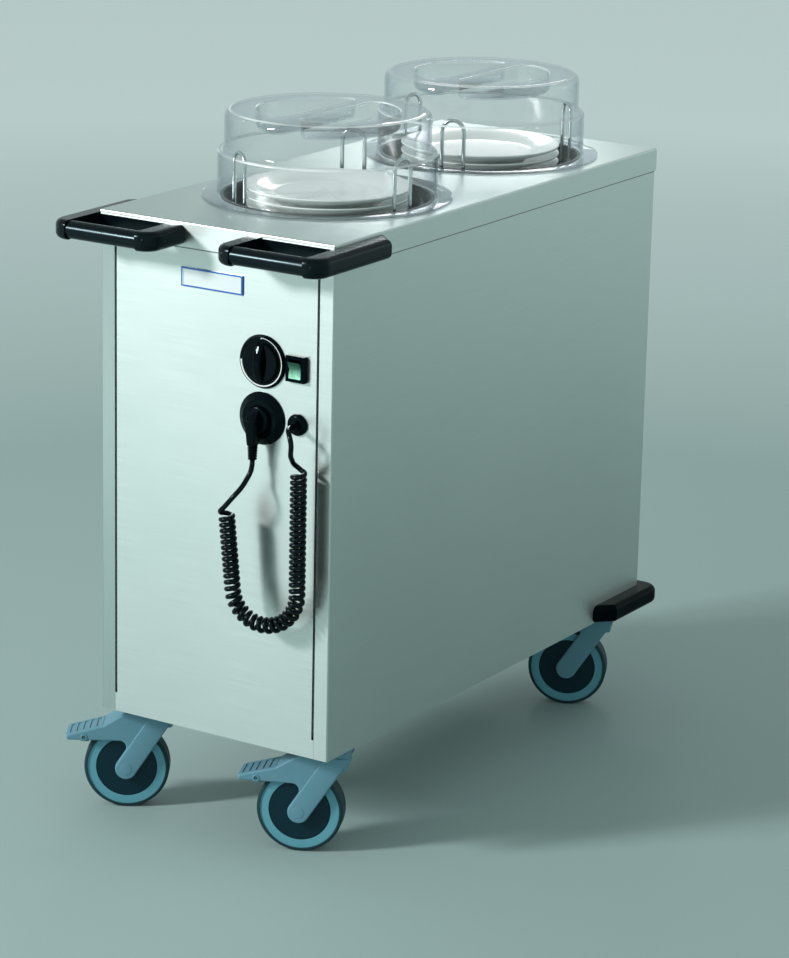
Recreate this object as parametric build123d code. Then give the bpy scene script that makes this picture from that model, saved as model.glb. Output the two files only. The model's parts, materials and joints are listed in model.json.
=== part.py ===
"""Heated plate dispenser: a steel cabinet on casters with two sprung plate wells.

Millimetres, +Z up. The front with the controls faces -Y. The origin lies on the
floor under the middle of the cabinet. Each piece is one solid in a named node.
"""

from math import acos, cos, dist, pi, radians, sin, sqrt, tan
import os

from build123d import *

# Cabinet
top_height = 900.0  # worktop above the floor
top_width = 395.0
top_length = 905.0
cap_drop = 35.0  # depth of the worktop's folded skirt
panel_bottom = 162.0  # lower edge of the panels above the floor
sheet = 1.5
cap_gap = 0.5  # air between the skirt and the panels
bend_round = 2.0  # outside radius of a fold
corner_flange = 22.5  # the side panel's fold onto the front and the back
fold_depth = 14.0  # depth of the fold beside the groove
rebate_width = 20.0  # strip behind the groove
groove_width = 4.0
groove_foot = 28.0  # plain stretch below the groove
seam_gap = 0.3
pan_rise = 4.0  # floor pan above the panels' lower edge
pan_lip = 25.0

# Badge plate
badge_width = 103.0
badge_height = 27.0
badge_thickness = 2.5
badge_border = 3.0
badge_recess = 0.8
badge_offset = -5.0
badge_drop = 76.3

# Push handles and bumpers
handle_width = 28.0  # stand-off of the casting from the wall
handle_height = 28.0
handle_drop = 18.0  # middle of the handle below the worktop
handle_leg = 125.0  # along the side of the cabinet
handle_round = 9.0
corner_radius = 26.0
grip_radius = 12.8
grip_reach = 66.5  # grip's axis in front of the worktop
inner_casting_inset = 147.5  # inner casting from the side of the worktop
back_plate_thickness = 3.0  # black plate on the skirt behind the grip
back_plate_height = 25.0
grip_seat = 12.0  # how far the grip enters a casting
grip_clearance = 0.05
bumper_reach = 28.0
bumper_height = 28.0
bumper_side_leg = 145.0
bumper_back_leg = 100.0

# Wells
front_room = 126.5  # front panel to the front well
between_wells = 124.0
rear_room = 54.5
side_room = 46.5
well_wall = 1.2
well_clearance = 0.4
well_lip_width = 3.5
well_lip_height = 1.5
well_floor_gap = 32.0  # well's lower edge above the floor pan
slot_width = 12.0
slot_margin = 4.0
slot_foot = 26.0  # plain tube below the slots

# Plates: a stack stands in each well
plate_room = 28.0  # plate's edge to the well
plate_pitch = 12.5
plate_height = 24.0
plate_count = 4
plate_rise = 17.0  # top rim above the worktop
plate_foot_inset = 55.0  # foot ring inside the plate's edge
plate_foot_width = 6.0
plate_foot_height = 5.0
plate_belly = 6.0  # underside at the edge of the plate's floor
plate_rim_width = 41.0  # sloping rim
plate_rim_thickness = 4.0

# Sprung platforms
platform_inset = 5.0  # platform inside the plates' edge
platform_sheet = 2.0
platform_rim = 10.0
spider_drop = 220.0  # spring arms below the platform
post_inset = 16.0  # posts inside the platform's edge
post_radius = 5.0
arm_width = 8.0
arm_height = 6.0
arm_angles = {"front": -63.0, "rear": -13.0}
spring_stand_off = 13.0  # springs' axes outside the well's bore
spring_radius = 7.0
spring_bore = 4.5
lug_drop = 22.0  # spring hangers below the worktop
lug_height = 3.0
lug_reach = 10.0  # hanger past the spring's axis
arms_per_well = 3

# Hairpin guide rods
rod_radius = 3.0
rod_stand_off = 9.0  # rods' axes inside the well's bore
rod_half_span = 17.0
rod_rise = 75.0  # above the worktop
rod_angles = {"front": (-119.0, -8.0, 108.0), "rear": (-76.0, 50.0, 170.0)}
rod_foot_gap = 60.0  # rods' lower ends above the well's lower edge
clip_height = 10.0
clip_drop = 70.0  # upper clip below the worktop
clip_gap = 0.3
clip_overhang = 6.0

# Ring heaters on the floor pan
heater_inset = 44.0  # heater ring inside the well's bore
heater_tube = 4.5
heater_rise = 18.0
heater_head = (34.0, 22.0, 18.0)
heater_foot = 10.0
heater_feet = 3
heater_foot_angle = 30.0

# Hoods
hood_wall = 3.0
hood_skirt_room = 8.5  # skirt's outside from the well's bore
hood_flange_width = 22.5
hood_step_width = 9.5
hood_step_height = 66.0
hood_step_slope = 4.0
hood_height = 125.0
hood_shoulder = 12.0
hood_top_width = 46.0  # flat ring round the pockets
pocket_depth = 25.0
pocket_corner = 14.0
pocket_round = 4.0
grip_bar_width = 28.0
notch_length = 28.0
notch_depth = 3.0
notch_angles = {"front": (-146.0, -66.0, 34.0), "rear": (-66.0, 54.0, 174.0)}

# Controls: the dial's place is measured from the right side and the worktop, the others' from the dial
dial_inset = 114.8
dial_drop = 177.8
dial_radius = 38.0
dial_thickness = 5.0
dial_slope = 2.5
dial_rim = 1.0
knob_radius = 28.5
knob_length = 3.5
knob_round = 2.0
ridge_width = 13.0
ridge_height = 9.0
ridge_round = 2.5
knob_gap = 0.5
spindle_radius = 3.0
spindle_clearance = 0.05
bush_radius = 5.0
bush_clearance = 0.2
thermostat_size = (42.0, 38.0, 48.0)
spindle_depth = 24.0
switch_aside = 57.3
switch_below = 1.2
switch_width = 30.0
switch_height = 37.0
switch_reach = 8.0
switch_depth = 32.0
switch_wall = 2.0
switch_bevel = 1.0
window_width = 20.0
window_height = 27.0
rocker_gap = 0.5
rocker_end_gap = 1.5
rocker_back = 6.0  # rocker behind its pivot
rocker_pit = 12.0  # room behind the pivot
rocker_rise = 2.5  # rocker's ends in front of the frame
rocker_dip = 1.2  # rocker's middle behind the frame's front
rocker_heel = 5.0
rocker_tilt = 9.0
rocker_pin_radius = 1.5
rocker_pin_length = 2.0
rocker_pin_clearance = 0.05
rocker_pivot_depth = 6.0  # pivot behind the frame's front face
socket_gap = 4.7  # between the dial and the socket
socket_radius = 37.5
socket_face_radius = 27.5
socket_rim = 1.5
socket_reach = 9.0
socket_body_radius = 24.0
socket_body_depth = 34.0
socket_recess_radius = 19.8
socket_recess_depth = 17.5
pin_spacing = 19.0
pin_radius = 2.4
pin_length = 19.0
pin_clearance = 0.4
gland_aside = 58.9
gland_radius = 15.5
gland_disc = 7.0
gland_round = 5.5
gland_reach = 12.0
gland_boss_radius = 7.5
gland_thread_radius = 10.0
gland_nut_radius = 15.0
gland_nut_height = 6.0
hole_clearance = 0.3
terminal_size = (90.0, 60.0, 70.0)
terminal_lid = 3.0
terminal_overhang = 2.0
terminal_offset = -40.0
terminal_setback = 50.5  # middle of the box behind the front

# Plug in the parking socket
plug_clearance = 0.5
plug_head_radius = 18.5
plug_head_length = 7.0
plug_axis_reach = 14.5  # tail's axis in front of the socket's face
plug_tail_width = 18.0
plug_tail_depth = 17.0
plug_neck_width = 12.0
plug_tail_length = 33.0
plug_round = 3.5
plug_wedge_top = 15.0  # sloping back of the plug above its middle
plug_wedge_foot = 3.0
plug_wedge_step = 1.5
relief_length = 20.5
relief_radius = 5.2
relief_rib = 1.2
relief_ribs = 7

# Cord: its points are (across from the socket, out from the front panel, below the socket)
cord_radius = 3.5
curl_radius = 8.35  # helix of the cord's middle line
curl_pitch = 8.1
bend_pitch = 10.2  # opened curls round the bottom of the loop
pitch_ease = 25.0
coil_left = (-26.7, 46.5, 129.0)  # top of the left column's axis
coil_right = (80.8, 29.5, 62.0)  # top of the right column's axis
coil_depth = 284.0  # lowest point of the coil's axis
coil_lean = 5.4
peel_left = 45.0  # slope of the strand where it leaves the left column
peel_right = 52.0
peel_quarters = 2
plug_lead_points = [(0.0, 23.5, 67.5), (-4.2, 30.0, 81.0), (-4.7, 42.0, 91.0)]
gland_lead_points = [(gland_aside, 25.0, 0.0), (69.9, 38.4, 2.5), (77.9, 43.2, 16.8)]
plug_lead_end = 17.0  # last run of the plug's lead, in line with the curls' end
gland_lead_end = 9.1
arc_share = 0.45  # part of the shorter run that an arc takes
samples_per_arc = 4
neighbour_turn = 0.75  # least part of a turn between strands whose gap is measured

# Casters: trail angles are where the wheel lies round the kingpin, from +X
wheel_radius = 62.5
tyre_width = 32.0
tyre_depth = 5.0
tyre_round = 4.0
rim_width = 29.0
hub_radius = 14.0
hub_width = 34.0
web_thickness = 8.0
rim_depth = 12.0  # rim from its outside to the hollow
guard_radius = 43.5
guard_thickness = 2.0
guard_seat = 1.5  # step that the guard sits in
guard_gap = 0.3
axle_radius = 5.0
axle_clearance = 0.05
axle_cap_radius = 9.0
axle_cap_height = 0.8
trail = 38.0
kingpin_inset = (41.5, 67.5)  # kingpin from the cabinet's side and end
kingpin_radius = 6.0
kingpin_depth = 26.0
kingpin_clearance = 0.05
caster_plate = (78.0, 102.0, 3.0)
cup_radius = 28.0
cup_height = 5.0
swivel_gap = 0.5
bolt_radius = 4.0
bolt_head_radius = 7.0
bolt_head_height = 5.0
bolt_spacing = (60.0, 80.0)
nut_height = 6.0
fork_gap = 1.0  # hub to fork leg
leg_thickness = 6.5
leg_half_width = 16.0
leg_foot_round = 15.0
leg_lean = 42.0  # legs' upper end back from the axle
head_half_length = 30.5
head_height = 30.0
head_round = 5.0
crook_round = 3.5  # inside corners between the legs and the head
fork_round = 3.0
wheel_gap = 4.5  # tyre to the fork's crown
fender_bottom = 105.0
fender_crook = 10.0
fender_tip = 126.0  # kingpin to the fender's tip
fender_tip_top = 113.0
fender_tip_round = 3.5
fender_seam = 72.0
fender_seam_top = 128.0
fender_seam_round = 5.0
fender_roof = 5.0
pedal_gap = 0.5
pedal_thickness = 7.0
pedal_pivot = (100.0, 110.0)
pedal_pin_radius = 2.5
pedal_pin_clearance = 0.05
pedal_ribs = 5
pedal_rib_depth = 1.2
pedal_tab_length = 12.0
pedal_tab_width = 17.0
pedal_tab_drop = 12.0
caster_angles = {"front_left": 211.6, "front_right": 203.6, "rear_left": 207.0, "rear_right": 203.6}

# Wiring between the gland, the switch, the terminal box and the heaters
wire_radius = 3.0
wire_bend = 10.0
wire_stand_off = 18.0  # wires behind the fittings that they leave
wire_drop = 45.0  # cross runs above the terminal box
wire_entry = 20.0  # wires' places on the terminal box, from its middle
wire_height = 6.5  # heater wires above the floor pan
wire_jog = 36.0  # steps of the rear heater's wire to the box's line

touch = 0.1  # tolerance for picking edges by their place

# Places worked out from the sizes above
cap_half_width = top_width / 2
cap_half_length = top_length / 2
half_width = cap_half_width - sheet - cap_gap
half_length = cap_half_length - sheet - cap_gap
panel_top = top_height - sheet
front_face = -half_length
pan_bottom = panel_bottom + pan_rise
pan_top = pan_bottom + sheet
flange_edge = half_width - corner_flange
well_radius = min(half_width - side_room, (2 * half_length - front_room - between_wells - rear_room) / 4)
well_places = {"front": front_face + front_room + well_radius, "rear": half_length - rear_room - well_radius}
well_outer = well_radius + well_wall
well_bottom = pan_top + well_floor_gap
plate_radius = well_radius - plate_room
platform_radius = plate_radius - platform_inset
post_circle = platform_radius - post_inset
spring_circle = well_radius + spring_stand_off
rod_circle = well_radius - rod_stand_off
heater_radius = well_radius - heater_inset
hood_skirt_radius = well_radius + hood_skirt_room
hood_flange_radius = hood_skirt_radius + hood_flange_width
hood_drum_radius = hood_skirt_radius - hood_step_width
pocket_radius = hood_drum_radius - hood_top_width
stack_base = top_height + plate_rise - plate_height - (plate_count - 1) * plate_pitch
arm_top = stack_base - spider_drop
slot_bottom = well_bottom + slot_foot
lug_bottom = top_height - lug_drop - lug_height
grip_axis_y = -cap_half_length - grip_reach
grip_axis_z = top_height - handle_drop
dial_offset = half_width - dial_inset
dial_z = top_height - dial_drop
switch_offset = dial_offset + switch_aside
switch_z = dial_z - switch_below
gland_offset = dial_offset + gland_aside
socket_z = dial_z - dial_radius - socket_gap - socket_radius
socket_face = front_face - socket_reach
plug_axis_y = socket_face - plug_axis_reach
plug_tip_z = socket_z - plug_tail_length - relief_length
gland_face = front_face - gland_reach
fork_half_width = hub_width / 2 + fork_gap + leg_thickness
slot_half_width = hub_width / 2 + fork_gap
kingpin_x = half_width - kingpin_inset[0]
kingpin_y = half_length - kingpin_inset[1]
cup_bottom = pan_bottom - caster_plate[2] - cup_height
head_top = cup_bottom - swivel_gap


def slab(x0, x1, y0, y1, z0, z1):
    """A box between two opposite corners, given in any order."""
    middle = Pos((x0 + x1) / 2, (y0 + y1) / 2, (z0 + z1) / 2)
    return middle * Box(abs(x1 - x0), abs(y1 - y0), abs(z1 - z0))


def front_block(x, z, width, height, y0, y1):
    """A box centred on a place of the front panel, from one depth to another."""
    return slab(x - width / 2, x + width / 2, y0, y1, z - height / 2, z + height / 2)


def post(x, y, z0, z1, radius):
    """An upright cylinder."""
    return Pos(x, y, (z0 + z1) / 2) * Cylinder(radius, abs(z1 - z0))


def stub(x, z, y0, y1, radius):
    """A cylinder along Y, square to the front panel."""
    return Pos(x, (y0 + y1) / 2, z) * Rot(90, 0, 0) * Cylinder(radius, abs(y1 - y0))


def cross_rod(y, z, x0, x1, radius):
    """A cylinder along X."""
    return Pos((x0 + x1) / 2, y, z) * Rot(0, 90, 0) * Cylinder(radius, abs(x1 - x0))


def side_plate(outline, y0, y1):
    """An outline in the XZ plane, given a thickness from y0 to y1."""
    return extrude(Plane.XZ.offset(-max(y0, y1)) * outline, abs(y1 - y0))


def turned(points):
    """A profile of (radius, height) points turned about Z."""
    return revolve(Plane.XZ * make_face(Polyline(*points, close=True)), Axis.Z)


def on_front(x, z, points):
    """A profile of (radius, reach) points turned about a line out of the front panel."""
    return Pos(x, front_face, z) * Rot(90, 0, 0) * turned(points)


def edges_at(shape, axis, test):
    """The straight or curved edges along an axis whose middle passes a test."""
    return [edge for edge in shape.edges().filter_by(axis) if test(edge.center())]


def mirrored(shape):
    """The piece on the other side of the cabinet."""
    return mirror(shape, about=Plane.YZ)


def turns(count, start=0.0):
    """Evenly spaced angles round a circle."""
    return [start + step * 360 / count for step in range(count)]


# Cabinet


def top_plate():
    """Worktop folded down all round, with an opening for each well."""
    skirt_bottom = top_height - cap_drop
    middle = (skirt_bottom + top_height) / 2
    cap = Pos(0, 0, middle) * Box(top_width, top_length, cap_drop)
    cap = fillet([edge for edge in cap.edges() if edge.center().Z > middle - touch], bend_round)
    inside_x = cap_half_width - sheet
    inside_y = cap_half_length - sheet
    cap -= slab(-inside_x, inside_x, -inside_y, inside_y, skirt_bottom, top_height - sheet)
    for y in well_places.values():
        cap -= post(0, y, skirt_bottom, top_height + sheet, well_outer + well_clearance)
    return cap


def side_panel():
    """Right side wall, folded onto the front and the back, with a rebate behind each groove."""
    panel = slab(half_width - sheet, half_width, -half_length, half_length, panel_bottom, panel_top)
    for end in (-1, 1):
        face = end * half_length
        skin = end * (half_length - sheet)
        seat = end * (half_length - fold_depth)
        seat_face = end * (half_length - fold_depth + sheet)
        panel += slab(flange_edge, half_width, face, skin, panel_bottom, panel_top)
        panel += slab(flange_edge, flange_edge + sheet, face, seat, panel_bottom, panel_top)
        rebate_edge = flange_edge - rebate_width
        panel += slab(rebate_edge, flange_edge + sheet, seat, seat_face, panel_bottom, panel_top)
    corners = edges_at(panel, Axis.Z, lambda p: p.X > half_width - touch and abs(p.Y) > half_length - touch)
    return fillet(corners, bend_round)


def end_panel():
    """Flat panel between the side panels' folds, seen from outside at the front."""
    upper = flange_edge - groove_width
    lower = flange_edge - seam_gap
    groove_bottom = panel_bottom + groove_foot
    skin = front_face + sheet
    panel = slab(-upper, upper, front_face, skin, groove_bottom, panel_top)
    panel += slab(-lower, lower, front_face, skin, panel_bottom, groove_bottom)
    rebate_face = front_face + fold_depth - sheet
    for side in (-1, 1):
        panel += slab(side * upper, side * (upper - sheet), front_face, rebate_face, panel_bottom, panel_top)
    return panel


def front_panel():
    """Front panel with the openings for the controls."""
    panel = end_panel()
    back = front_face + fold_depth
    panel -= stub(dial_offset, dial_z, front_face - sheet, back, bush_radius + bush_clearance)
    hole_width = window_width + 2 * (switch_wall + hole_clearance)
    hole_height = window_height + 2 * (switch_wall + hole_clearance)
    panel -= front_block(switch_offset, switch_z, hole_width, hole_height, front_face - sheet, back)
    panel -= stub(dial_offset, socket_z, front_face - sheet, back, socket_body_radius + hole_clearance)
    panel -= stub(gland_offset, socket_z, front_face - sheet, back, gland_thread_radius + hole_clearance)
    return panel


def floor_pan():
    """Folded tray that carries the casters and closes the cabinet below."""
    reach_x = half_width - sheet
    reach_y = half_length - fold_depth
    pan = slab(-reach_x, reach_x, -reach_y, reach_y, pan_bottom, pan_bottom + pan_lip)
    inside_x = reach_x - sheet
    inside_y = reach_y - sheet
    pan -= slab(-inside_x, inside_x, -inside_y, inside_y, pan_top, pan_top + pan_lip)
    for x, y in caster_places().values():
        for bolt_x, bolt_y in bolt_places(x, y):
            pan -= post(bolt_x, bolt_y, pan_bottom - sheet, pan_top + sheet, bolt_radius + hole_clearance)
    return pan


def badge_plate():
    """Blank name plate with a raised border."""
    middle_z = top_height - badge_drop
    front = front_face - badge_thickness
    plate = front_block(badge_offset, middle_z, badge_width, badge_height, front, front_face)
    inner_width = badge_width - 2 * badge_border
    inner_height = badge_height - 2 * badge_border
    return plate - front_block(badge_offset, middle_z, inner_width, inner_height, front, front + badge_recess)


# Push handles and bumpers


def rounded_block(outline, z0, z1, keep_sharp):
    """A flat outline with height, its outer edges rounded, sharp where it meets the wall."""
    block = extrude(Pos(0, 0, z0) * make_face(outline), z1 - z0)
    layers = block.faces().sort_by(Axis.Z)
    rim = layers[0].edges() + layers[-1].edges()
    return fillet([edge for edge in rim if not keep_sharp(edge.center())], handle_round)


def handle_right():
    """Corner casting, inner casting, grip bar and back plate at the right front corner."""
    z0 = grip_axis_z - handle_height / 2
    z1 = grip_axis_z + handle_height / 2
    wall = cap_half_width
    outer = wall + handle_width
    back = -cap_half_length + handle_leg
    front = grip_axis_y - handle_width / 2
    bend = front + corner_radius
    corner_outline = Wire(
        [
            Edge.make_line((wall, back), (outer, back - handle_width)),
            Edge.make_line((outer, back - handle_width), (outer, bend)),
            Edge.make_tangent_arc((outer, bend), (0, -1), (outer - corner_radius, front)),
            Edge.make_line((outer - corner_radius, front), (wall, front)),
            Edge.make_line((wall, front), (wall, back)),
        ]
    )
    corner = rounded_block(corner_outline, z0, z1, lambda p: p.X < wall + touch)
    inner_x = wall - inner_casting_inset
    inner_end = inner_x + handle_width
    root = -cap_half_length
    inner_outline = Wire(
        [
            Edge.make_line((inner_x, root), (inner_x, bend)),
            Edge.make_tangent_arc((inner_x, bend), (0, -1), (inner_x + corner_radius, front)),
            Edge.make_line((inner_x + corner_radius, front), (inner_end, front)),
            Edge.make_line((inner_end, front), (inner_end, root)),
            Edge.make_line((inner_end, root), (inner_x, root)),
        ]
    )
    inner = rounded_block(inner_outline, z0, z1, lambda p: p.Y > root - touch or p.X > inner_end - touch)
    bar_start = inner_end - grip_seat
    bar_end = wall + grip_seat
    bore = cross_rod(grip_axis_y, grip_axis_z, bar_start, bar_end, grip_radius + grip_clearance)
    bar = cross_rod(grip_axis_y, grip_axis_z, bar_start, bar_end, grip_radius)
    plate_half = back_plate_height / 2
    plate_low = grip_axis_z - plate_half
    plate_high = grip_axis_z + plate_half
    back_plate = slab(inner_end, wall, root - back_plate_thickness, root, plate_low, plate_high)
    return [corner - bore, inner - bore, bar, back_plate]


def rear_bumper():
    """Right bumper wrapped round the bottom corner of the back."""
    z0 = panel_bottom
    z1 = panel_bottom + bumper_height
    x_in = half_width
    x_out = half_width + bumper_reach
    y_in = half_length
    y_out = half_length + bumper_reach
    y_start = half_length - bumper_side_leg
    x_end = half_width - bumper_back_leg
    outline = Wire(
        [
            Edge.make_line((x_in, y_start), (x_out, y_start + bumper_reach)),
            Edge.make_line((x_out, y_start + bumper_reach), (x_out, y_out - corner_radius)),
            Edge.make_tangent_arc((x_out, y_out - corner_radius), (0, 1), (x_out - corner_radius, y_out)),
            Edge.make_line((x_out - corner_radius, y_out), (x_end + bumper_reach, y_out)),
            Edge.make_line((x_end + bumper_reach, y_out), (x_end, y_in)),
            Edge.make_line((x_end, y_in), (x_in, y_in)),
            Edge.make_line((x_in, y_in), (x_in, y_start)),
        ]
    )
    return rounded_block(outline, z0, z1, lambda p: p.X < x_in + touch and p.Y < y_in + touch)


# Wells, platforms, springs and plates


def arm_directions(name):
    """Angles of a carriage's spring arms."""
    return turns(arms_per_well, arm_angles[name])


def well(name):
    """Slotted tube hung by its lip in the worktop, with spring hangers outside."""
    height = top_height - well_bottom
    wall = Cylinder(well_outer, height) - Cylinder(well_radius, height)
    tube = Pos(0, 0, well_bottom + height / 2) * wall
    lip_radius = well_outer + well_lip_width
    lip = Cylinder(lip_radius, well_lip_height) - Cylinder(well_radius, well_lip_height)
    tube += Pos(0, 0, top_height + well_lip_height / 2) * lip
    slot_top = arm_top + slot_margin
    for angle in arm_directions(name):
        turn = Rot(0, 0, angle)
        tube -= turn * slab(0, well_outer + well_wall, -slot_width / 2, slot_width / 2, slot_bottom, slot_top)
        hanger = slab(
            well_radius + well_wall / 2,
            spring_circle + lug_reach,
            -spring_radius,
            spring_radius,
            lug_bottom,
            lug_bottom + lug_height,
        )
        tube += turn * hanger
    return Pos(0, well_places[name], 0) * tube


def platform(name):
    """Carriage: a plate table on posts, with arms through the slots to the springs."""
    table_bottom = stack_base - platform_sheet
    table = post(0, 0, table_bottom, stack_base, platform_radius)
    rim = Cylinder(platform_radius, platform_rim) - Cylinder(platform_radius - platform_sheet, platform_rim)
    table += Pos(0, 0, table_bottom - platform_rim / 2) * rim
    arm_bottom = arm_top - arm_height
    ring = Cylinder(post_circle + post_radius, arm_height) - Cylinder(post_circle - post_radius, arm_height)
    table += Pos(0, 0, arm_top - arm_height / 2) * ring
    arm_end = spring_circle + lug_reach
    arm = slab(post_circle, arm_end, -arm_width / 2, arm_width / 2, arm_bottom, arm_top)
    for angle in arm_directions(name):
        turn = Rot(0, 0, angle)
        table += turn * post(post_circle, 0, arm_bottom, table_bottom, post_radius)
        table += turn * arm
    return Pos(0, well_places[name], 0) * table


def springs(name):
    """Tension springs between the hangers and the arms, as plain closed sleeves."""
    sleeve_length = lug_bottom - arm_top
    sleeve = Cylinder(spring_radius, sleeve_length) - Cylinder(spring_bore, sleeve_length)
    hung = Pos(spring_circle, 0, (lug_bottom + arm_top) / 2) * sleeve
    centre = Pos(0, well_places[name], 0)
    return [centre * Rot(0, 0, angle) * hung for angle in arm_directions(name)]


def guide_rods(name):
    """Hairpins that keep the stack upright, clipped to the inside of the well."""
    low = well_bottom + rod_foot_gap
    bend_z = top_height + rod_rise - rod_half_span - rod_radius
    path = Wire(
        [
            Edge.make_line((rod_circle, -rod_half_span, low), (rod_circle, -rod_half_span, bend_z)),
            Edge.make_three_point_arc(
                (rod_circle, -rod_half_span, bend_z),
                (rod_circle, 0, bend_z + rod_half_span),
                (rod_circle, rod_half_span, bend_z),
            ),
            Edge.make_line((rod_circle, rod_half_span, bend_z), (rod_circle, rod_half_span, low)),
        ]
    )
    section = Pos(rod_circle, -rod_half_span, low) * Circle(rod_radius)
    hairpin = sweep(section, path=path)
    clip_half = rod_half_span + clip_overhang
    for clip_top in (top_height - clip_drop, low + clip_height):
        clip = slab(rod_circle, well_radius, -clip_half, clip_half, clip_top - clip_height, clip_top)
        hairpin += clip & post(0, 0, clip_top - clip_height, clip_top, well_radius - clip_gap)
    centre = Pos(0, well_places[name], 0)
    return [centre * Rot(0, 0, angle) * hairpin for angle in rod_angles[name]]


def plate():
    """One plate standing on its foot ring at height zero."""
    floor_top = plate_pitch
    floor_radius = plate_radius - plate_rim_width
    foot_out = plate_radius - plate_foot_inset
    foot_in = foot_out - plate_foot_width
    rim_bottom = plate_height - plate_rim_thickness
    return turned(
        [
            (0, plate_foot_height),
            (foot_in, plate_foot_height),
            (foot_in, 0),
            (foot_out, 0),
            (foot_out, plate_foot_height),
            (floor_radius, plate_belly),
            (plate_radius, rim_bottom),
            (plate_radius, plate_height),
            (floor_radius, floor_top),
            (0, floor_top),
        ]
    )


def plates(name):
    """The stack of plates on the platform."""
    place = well_places[name]
    return [Pos(0, place, stack_base + step * plate_pitch) * plate() for step in range(plate_count)]


def heater(y):
    """Ring heater with its terminal head, standing on the floor pan."""
    ring = Pos(0, 0, pan_top + heater_rise) * Torus(heater_radius, heater_tube)
    for angle in turns(heater_feet, heater_foot_angle):
        foot = slab(
            heater_radius - heater_foot / 2,
            heater_radius + heater_foot / 2,
            -heater_foot / 2,
            heater_foot / 2,
            pan_top,
            pan_top + heater_rise,
        )
        ring += Rot(0, 0, angle) * foot
    head_x, head_y, head_z = heater_head
    ring += Pos(heater_radius + head_x / 2, 0, pan_top + head_z / 2) * Box(head_x, head_y, head_z)
    return Pos(0, y, 0) * Rot(0, 0, -90) * ring


# Hoods


def hood(name):
    """Clear hood: flange, skirt, step, drum and a flat ring that holds the pockets."""
    floor = top_height
    step = floor + hood_step_height
    ceiling = floor + hood_height
    ring_hole = pocket_radius + hood_wall
    profile = make_face(
        Polyline(
            (hood_skirt_radius - hood_wall, floor),
            (hood_flange_radius, floor),
            (hood_flange_radius, floor + hood_wall),
            (hood_skirt_radius, floor + hood_wall),
            (hood_skirt_radius, step),
            (hood_drum_radius, step + hood_step_slope),
            (hood_drum_radius, ceiling),
            (ring_hole, ceiling),
            (ring_hole, ceiling - hood_wall),
            (hood_drum_radius - hood_wall, ceiling - hood_wall),
            (hood_drum_radius - hood_wall, step + hood_step_slope - hood_wall),
            (hood_skirt_radius - hood_wall, step - hood_wall),
            close=True,
        )
    )

    def corners(radius, height):
        return [v for v in profile.vertices() if dist((v.X, v.Y), (radius, height)) < touch]

    profile = fillet(corners(hood_drum_radius, ceiling), hood_shoulder)
    profile = fillet(corners(hood_drum_radius - hood_wall, ceiling - hood_wall), hood_shoulder - hood_wall)
    shell = revolve(Plane.XZ * profile, Axis.Z)
    for angle in notch_angles[name]:
        cut = slab(
            hood_flange_radius - notch_depth,
            hood_flange_radius + notch_depth,
            -notch_length / 2,
            notch_length / 2,
            floor,
            floor + hood_wall,
        )
        shell -= Rot(0, 0, angle) * cut
    return Pos(0, well_places[name], 0) * shell


def half_moon(radius, edge, corner):
    """Outline of a pocket: a disc cut off beside the bar, its two corners rounded."""
    outline = Circle(radius) & Pos(edge + radius, 0) * Rectangle(2 * radius, 2 * radius)
    return fillet(outline.vertices(), corner)


def hood_grip(name):
    """Two sunk finger pockets and the bar between them, in the hood's flat ring."""
    ceiling = top_height + hood_height
    pocket_floor = ceiling - pocket_depth
    edge = grip_bar_width / 2
    outside = half_moon(pocket_radius + hood_wall, edge - hood_wall, pocket_corner + hood_wall)
    inside = half_moon(pocket_radius, edge, pocket_corner)
    tub = extrude(Pos(0, 0, pocket_floor - hood_wall) * outside, pocket_depth + hood_wall)
    tub = fillet(tub.faces().sort_by(Axis.Z)[0].edges(), pocket_round)
    tub -= extrude(Pos(0, 0, pocket_floor) * inside, pocket_depth)
    bar = post(0, 0, ceiling - hood_wall, ceiling, pocket_radius + hood_wall)
    for turn in (0, 180):
        bar -= Rot(0, 0, turn) * extrude(Pos(0, 0, ceiling - hood_wall) * outside, hood_wall)
    centre = Pos(0, well_places[name], 0)
    return [centre * tub, centre * Rot(0, 0, 180) * tub, centre * bar]


# Controls


def dial_ring():
    """Scale ring behind the knob, sloping inwards to its face."""
    hole = bush_radius + bush_clearance
    return on_front(
        dial_offset,
        dial_z,
        [
            (hole, 0),
            (dial_radius, 0),
            (dial_radius, dial_rim),
            (dial_radius - dial_slope, dial_thickness),
            (hole, dial_thickness),
        ],
    )


def dial_knob():
    """Low knob with a domed grip ridge, on the thermostat's spindle."""
    back = front_face - dial_thickness - knob_gap
    front = back - knob_length
    knob = stub(dial_offset, dial_z, front, back, knob_radius)
    knob = fillet([edge for edge in knob.edges() if edge.center().Y < front + touch], knob_round)
    crest = front - ridge_height
    dome_radius = (knob_radius**2 + ridge_height**2) / (2 * ridge_height)
    ridge = front_block(dial_offset, dial_z, ridge_width, 2 * knob_radius, crest, front + knob_round)
    ridge &= Pos(dial_offset, crest + dome_radius, dial_z) * Sphere(dome_radius)
    flanks = [edge for edge in ridge.edges() if edge.center().Y < front - ridge_height / 2]
    knob += fillet(flanks, ridge_round) & stub(dial_offset, dial_z, crest, back, knob_radius)
    return knob + stub(dial_offset, dial_z, back, front_face + spindle_depth, spindle_radius)


def thermostat():
    """Thermostat behind the front panel, its bush through the panel."""
    width, depth, height = thermostat_size
    back = front_face + sheet
    body = front_block(dial_offset, dial_z, width, height, back, back + depth)
    bush_front = front_face - dial_thickness
    body += stub(dial_offset, dial_z, bush_front, back, bush_radius)
    bore_end = front_face + spindle_depth + knob_gap
    return body - stub(dial_offset, dial_z, bush_front, bore_end, spindle_radius + spindle_clearance)


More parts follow.
